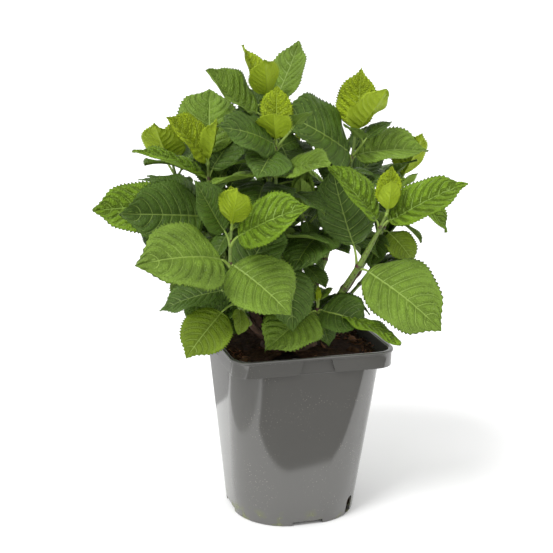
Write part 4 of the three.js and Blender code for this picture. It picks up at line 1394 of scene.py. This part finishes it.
def lumps(x, y):
    """The compost's lie, in the model's own waves and in finer ones."""
    coarse = 3 * (np.sin(x * 0.11 + 1) * np.cos(y * 0.09) + 0.6 * np.sin(x * 0.05 - y * 0.21))
    fine = 1.1 * np.sin(x * 0.43 + 2 * np.sin(y * 0.31)) * np.cos(y * 0.39 + np.sin(x * 0.2))
    finest = 0.5 * np.sin(x * 1.1 + y * 0.7) * np.cos(y * 1.3 - x * 0.4)
    edge = 5 * smooth(55, 88, np.maximum(np.abs(x), np.abs(y)))
    return coarse + fine + finest + edge


class HYDRANGEA_OT_compost(bpy.types.Operator):
    """Fill the pot with compost"""

    bl_idname = "hydrangea.compost"
    bl_label = "Compost"

    def execute(self, context):
        settings = context.scene.hydrangea_soil
        low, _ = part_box("compost")
        ledge = POT_HEIGHT - (context.scene.hydrangea_pot.lip + context.scene.hydrangea_pot.collar) / MM
        rings = [(low.z / MM, 74, 62), (190, 90.3, 50), (ledge - 4, 91.1, 48.8), (ledge + 2.2, 92.7, 25)]
        rings += [(SOIL_LEVEL, 92.7 * share, max(25 * share, 1)) for share in np.linspace(0.97, 0.02, 34)]
        body = loft("compost_body", rings)
        points = np.empty(len(body.data.vertices) * 3, np.float32)
        body.data.vertices.foreach_get("co", points)
        points = points.reshape(-1, 3) / MM
        top = points[:, 2] > SOIL_LEVEL - 1
        points[top, 2] += lumps(points[top, 0], points[top, 1])
        body.data.vertices.foreach_set("co", (points * MM).ravel())
        body.data.polygons.foreach_set("use_smooth", np.ones(len(body.data.polygons), bool))
        body.data.materials.clear()
        body.data.materials.append(compost_material(settings))
        finish_piece(body, ["compost"])
        return {"FINISHED"}


def soil_spot(random):
    """A place on top of the compost, outside the stool."""
    while True:
        x, y = random.uniform(-88, 88, 2)
        if math.hypot(x - STOOL_X, y - STOOL_Y) < STOOL_RADIUS * 0.8:
            continue
        if max(abs(x), abs(y)) > 60 and math.hypot(max(abs(x) - 48, 0), max(abs(y) - 48, 0)) > 40:
            continue
        return x, y, SOIL_LEVEL + float(lumps(x, y))


class HYDRANGEA_OT_crumbs(bpy.types.Operator):
    """Strew crumbs, bark chips and root fibres over the compost"""

    bl_idname = "hydrangea.crumbs"
    bl_label = "Crumbs and fibres"

    def execute(self, context):
        settings = context.scene.hydrangea_soil
        random = np.random.default_rng(3)
        golden = (1 + 5 ** 0.5) / 2
        ball = unit(np.array([
            (-1, golden, 0), (1, golden, 0), (-1, -golden, 0), (1, -golden, 0),
            (0, -1, golden), (0, 1, golden), (0, -1, -golden), (0, 1, -golden),
            (golden, 0, -1), (golden, 0, 1), (-golden, 0, -1), (-golden, 0, 1),
        ]))
        ball_faces = np.array([
            (0, 11, 5), (0, 5, 1), (0, 1, 7), (0, 7, 10), (0, 10, 11), (1, 5, 9), (5, 11, 4), (11, 10, 2),
            (10, 7, 6), (7, 1, 8), (3, 9, 4), (3, 4, 2), (3, 2, 6), (3, 6, 8), (3, 8, 9), (4, 9, 5),
            (2, 4, 11), (6, 2, 10), (8, 6, 7), (9, 8, 1),
        ])
        crumbs = Pile()
        for number in range(settings.crumbs):
            x, y, z = soil_spot(random)
            size = random.uniform(0.8, 2.4) if number > 60 else random.uniform(3.0, 6.0)
            stretch = size * np.array([random.uniform(0.8, 1.9), random.uniform(0.6, 1.2), random.uniform(0.4, 0.9)])
            turn = random.uniform(0, 2 * math.pi)
            shape = ball * random.uniform(0.7, 1.15, (12, 1)) * stretch
            east = shape[:, 0] * math.cos(turn) - shape[:, 1] * math.sin(turn)
            north = shape[:, 0] * math.sin(turn) + shape[:, 1] * math.cos(turn)
            tilt = random.normal(0, 0.35, 2)
            up = shape[:, 2] + tilt[0] * east + tilt[1] * north
            points = np.stack([x + east, y + north, z + size * 0.2 + up], 1)
            kind = random.choice(3, p=(0.45, 0.45, 0.10))
            crumbs.add(points, [ball_faces], np.full(len(ball_faces), kind))
        materials = crumb_materials(settings)
        finish_piece(piece_from(crumbs, "compost_crumbs", materials[:3]))
        fibres = Pile()
        for _ in range(settings.fibres):
            x, y, z = soil_spot(random)
            heading = random.uniform(0, 360)
            reach = random.uniform(6, 22)
            points = [np.array([x, y, z + 0.5])]
            for _ in range(7):
                heading += random.normal(0, 28)
                step = direction(heading, random.normal(0, 12)) * reach / 7
                points.append(points[-1] + step)
            points = np.array(points)
            points[:, 2] = SOIL_LEVEL + lumps(points[:, 0], points[:, 1]) + random.uniform(0.4, 2.2)
            inside = np.abs(points[:, :2]).max() < 88
            if inside:
                tube(fibres, points, np.linspace(0.35, 0.15, 8), 4, 0)
        finish_piece(piece_from(fibres, "root_fibres", materials[3:]))
        return {"FINISHED"}


# ---- Canes, stems and stalks --------------------------------------------------------------------------------


def node_swelling(gone, places, breadth=3.2):
    """A sum of bumps along a stem, one at each node."""
    return sum(np.exp(-((gone - place) / breadth) ** 2) for place in places) if len(places) else gone * 0


def stem_nodes(row):
    """Distances of all nodes from the foot: the leafy ones, and the bare ones below them."""
    leafy = [row["long"] - below for below in row["nodes"]]
    bare = np.arange(row["long"] - row["nodes"][-1] - 34, 8, -30)
    return leafy, list(bare)


class HYDRANGEA_OT_canes(bpy.types.Operator):
    """Model the woody stool and the canes with the relief of their bark"""

    bl_idname = "hydrangea.canes"
    bl_label = "Canes"

    def execute(self, context):
        random = np.random.default_rng(17)
        canes = Pile()
        for name, row in plant().items():
            long = row["long"] * row["split"]
            rings = max(12, int(long / 2.4))
            gone = np.linspace(0, long, rings)
            share = gone / row["long"]
            points = row["curve"].point(share)
            woody = share < row["woody"] * row["split"]
            _, bare = stem_nodes(row)
            swell = node_swelling(gone, bare)
            sides = 14
            angles = 2 * math.pi * np.arange(sides) / sides
            ridges = 0.10 * np.sin(3 * angles[None] + 0.05 * gone[:, None] + random.uniform(0, 6))
            rough = random.normal(0, 0.16, (rings, sides)) * woody[:, None]
            bumps = 0.22 * np.sin(0.35 * gone[:, None] + 2 * angles[None]) * woody[:, None]
            radii = row["girth"] * stem_radius(row, share) * (1 + 0.28 * swell) + 2.2 * np.exp(-gone / 5)
            slots = np.where(woody, WOODY, GREEN)[:-1].copy()
            slots[(swell[:-1] > 0.45) & ~woody[:-1]] = NODE
            tube(canes, points, radii, sides, slots, ridges + rough + bumps)
        self.stool(canes, random)
        nodes = ["stool", *(f"bough_{name}" for name in plant())]
        finish_piece(piece_from(canes, "canes", stem_materials()), nodes)
        return {"FINISHED"}

    def stool(self, pile, random):
        """The knotted crown of old wood that the canes stand in."""
        rings, sides = 16, 40
        share = np.linspace(0, 1, rings)
        radius = STOOL_RADIUS * np.interp(share, (0, 0.3, 0.7, 0.9, 1), (1.0, 1.02, 0.85, 0.6, 0.12))
        height = SOIL_LEVEL - 8 + (STOOL_TOP - SOIL_LEVEL + 8) * np.interp(
            share, (0, 0.3, 0.7, 0.9, 1), (0, 0.4, 0.82, 0.97, 1))
        points = np.stack([np.full(rings, STOOL_X), np.full(rings, STOOL_Y), height], 1)
        angles = 2 * math.pi * np.arange(sides) / sides
        knots = 3.0 * np.sin(5 * angles)[None] + 1.6 * np.sin(11 * angles + 1)[None]
        relief = knots * share[:, None] * (1 - share[:, None] * 0.8) + random.normal(0, 0.6, (rings, sides))
        tube(pile, points, radius, sides, WOODY, relief)


class HYDRANGEA_OT_stems(bpy.types.Operator):
    """Grow the green stems, side twigs, leaf stalks and buds"""

    bl_idname = "hydrangea.stems"
    bl_label = "Stems and stalks"

    def execute(self, context):
        for spray, names in SPRAYS.items():
            pile = Pile()
            for name in names:
                self.stem(pile, plant()[name])
            piece = piece_from(pile, f"stems_{spray}", stem_materials())
            finish_piece(piece, [f"leaves_{name}" for name in names])
        return {"FINISHED"}

    def stem(self, pile, row):
        start = row["long"] * row["split"] - 1
        rings = max(10, int((row["long"] - start) / 2.0))
        gone = np.linspace(start, row["long"], rings)
        share = gone / row["long"]
        leafy, _ = stem_nodes(row)
        swell = node_swelling(gone, leafy, 2.6)
        radii = (1 + (row["girth"] - 1) * smooth(1, 0.75, share)) * stem_radius(row, share) * (1 + 0.32 * swell)
        slots = np.where(swell[:-1] > 0.6, NODE, GREEN)
        slots[gone[:-1] > row["long"] - 6] = STALK
        tube(pile, row["curve"].point(share), radii, 9, slots)
        for twig, thick, thin in row["twigs"]:
            points = twig.at(np.linspace(0, 1, 6))
            tube(pile, points, np.linspace(thick, thin, 6), 6, STALK)
        for blade in row["blades"]:
            size = min(1.0, 0.35 + 0.65 * blade["length"] / 90)
            share = np.array([0, 0.12, 0.25, 0.4, 0.55, 0.7, 0.85, 1.0])
            radii = size * np.interp(share, (0, 0.2, 0.5, 1), (2.5, 1.75, 1.45, 1.2))
            points = blade["stalk"].at(share)
            points[-1] = points[-1] + blade["along"] * 1.2
            tube(pile, points, radii, 7, STALK)


class HYDRANGEA_OT_leaves(bpy.types.Operator):
    """Grow the toothed leaves on every stem and twig"""

    bl_idname = "hydrangea.leaves"
    bl_label = "Leaves"

    def execute(self, context):
        random = np.random.default_rng(41)
        for spray, names in SPRAYS.items():
            pile = Pile()
            for name in names:
                for blade in plant()[name]["blades"]:
                    add_leaf(pile, blade, random, 4 * blade["tone"] + np.arange(4))
            piece = piece_from(pile, f"leaves_{spray}", leaf_materials())
            finish_piece(piece, [f"leaves_{name}" for name in names])
        return {"FINISHED"}


# ---- Studio -------------------------------------------------------------------------------------------------


class HYDRANGEA_OT_studio(bpy.types.Operator):
    """Set up the floor, the light and the camera"""

    bl_idname = "hydrangea.studio"
    bl_label = "Studio"

    def execute(self, context):
        settings = context.scene.hydrangea_studio
        deselect_all()
        bpy.ops.mesh.primitive_plane_add(size=60, location=(0, 10, -0.0005))
        floor = context.active_object
        floor.name = "floor"
        look = Shading("floor_matte", settings.floor, 0.9, Specular_IOR_Level=0.1)
        look.colour(look.mix(look.noise(1.5, 2.0), settings.floor, shade(settings.floor, 0.985)))
        floor.data.materials.append(look.material)
        self.sky(context, settings)
        self.lamp(context, settings)
        self.card("dark_card", 0.012, (0.06, -1.5 - settings.card_gap), (settings.card, 3.0), -5)
        self.card("grey_card", 0.42, (-0.8, 1.32), (1.7, 2.0))
        self.card("side_card", 0.42, (-1.0, -0.10), (1.5, 0.72))
        context.scene.view_settings.view_transform = "Standard"
        camera = bpy.data.objects.new("camera", bpy.data.cameras.new("camera"))
        context.scene.collection.objects.link(camera)
        camera.location = CAMERA_PLACE
        camera.rotation_euler = [math.radians(angle) for angle in CAMERA_TURN]
        camera.data.lens = CAMERA_LENS
        camera.data.clip_end = 50
        context.scene.camera = camera
        return {"FINISHED"}

    def sky(self, context, settings):
        """An evenly bright room."""
        world = bpy.data.worlds.new("studio")
        context.scene.world = world
        world.use_nodes = True
        room = world.node_tree.nodes["Background"]
        room.inputs["Color"].default_value = (1, 1, 1, 1)
        room.inputs["Strength"].default_value = settings.sky

    def lamp(self, context, settings):
        """A soft sun, above and to the left of the camera."""
        light = bpy.data.lights.new("key", "SUN")
        light.energy = settings.key
        light.angle = math.radians(settings.spread)
        holder = bpy.data.objects.new("key", light)
        context.scene.collection.objects.link(holder)
        heading = math.radians(settings.heading)
        holder.rotation_euler = (math.radians(90 - settings.rise), 0, heading + math.pi / 2)

    def card(self, name, tone, middle, sides, turn=0.0):
        """A card on the floor, which only the pot's gloss sees."""
        deselect_all()
        bpy.ops.mesh.primitive_plane_add(size=1, location=(*middle, 0.001))
        card = bpy.context.active_object
        card.name = name
        bpy.ops.object.mode_set(mode="EDIT")
        bpy.ops.transform.resize(value=(*sides, 1.0))
        bpy.ops.object.mode_set(mode="OBJECT")
        card.rotation_euler.z = math.radians(turn)
        bpy.ops.object.transform_apply(location=True, rotation=True, scale=False)
        look = Shading(name, (tone, tone, tone), 0.9, Specular_IOR_Level=0.0)
        look.colour(look.mix(look.noise(3.0), shade((tone,) * 3, 0.9), shade((tone,) * 3, 1.1)))
        card.data.materials.append(look.material)
        card.visible_camera = False
        card.visible_diffuse = False
        card.visible_shadow = False
        card.visible_transmission = False


# ---- Add-on -------------------------------------------------------------------------------------------------

OPERATORS = [
    HYDRANGEA_OT_studio, HYDRANGEA_OT_pot, HYDRANGEA_OT_compost, HYDRANGEA_OT_crumbs,
    HYDRANGEA_OT_canes, HYDRANGEA_OT_stems, HYDRANGEA_OT_leaves,
]
SETTINGS = {
    "hydrangea_pot": PotSettings,
    "hydrangea_soil": SoilSettings,
    "hydrangea_foliage": FoliageSettings,
    "hydrangea_studio": StudioSettings,
}


class HYDRANGEA_PT_panel(bpy.types.Panel):
    """The steps of the model, in order"""

    bl_label = "Hydrangea"
    bl_space_type = "VIEW_3D"
    bl_region_type = "UI"
    bl_category = "Hydrangea"

    def draw(self, context):
        for operator in OPERATORS:
            self.layout.operator(operator.bl_idname)


def register():
    for group in SETTINGS.values():
        bpy.utils.register_class(group)
    for name, group in SETTINGS.items():
        setattr(bpy.types.Scene, name, PointerProperty(type=group))
    for operator in OPERATORS:
        bpy.utils.register_class(operator)
    bpy.utils.register_class(HYDRANGEA_PT_panel)


def unregister():
    bpy.utils.unregister_class(HYDRANGEA_PT_panel)
    for operator in reversed(OPERATORS):
        bpy.utils.unregister_class(operator)
    for name, group in SETTINGS.items():
        delattr(bpy.types.Scene, name)
        bpy.utils.unregister_class(group)


def main():
    register()
    bpy.ops.hydrangea.studio()
    bpy.ops.hydrangea.pot()
    bpy.ops.hydrangea.compost()
    bpy.ops.hydrangea.crumbs()
    bpy.ops.hydrangea.canes()
    bpy.ops.hydrangea.stems()
    bpy.ops.hydrangea.leaves()


if __name__ == "__main__":
    main()
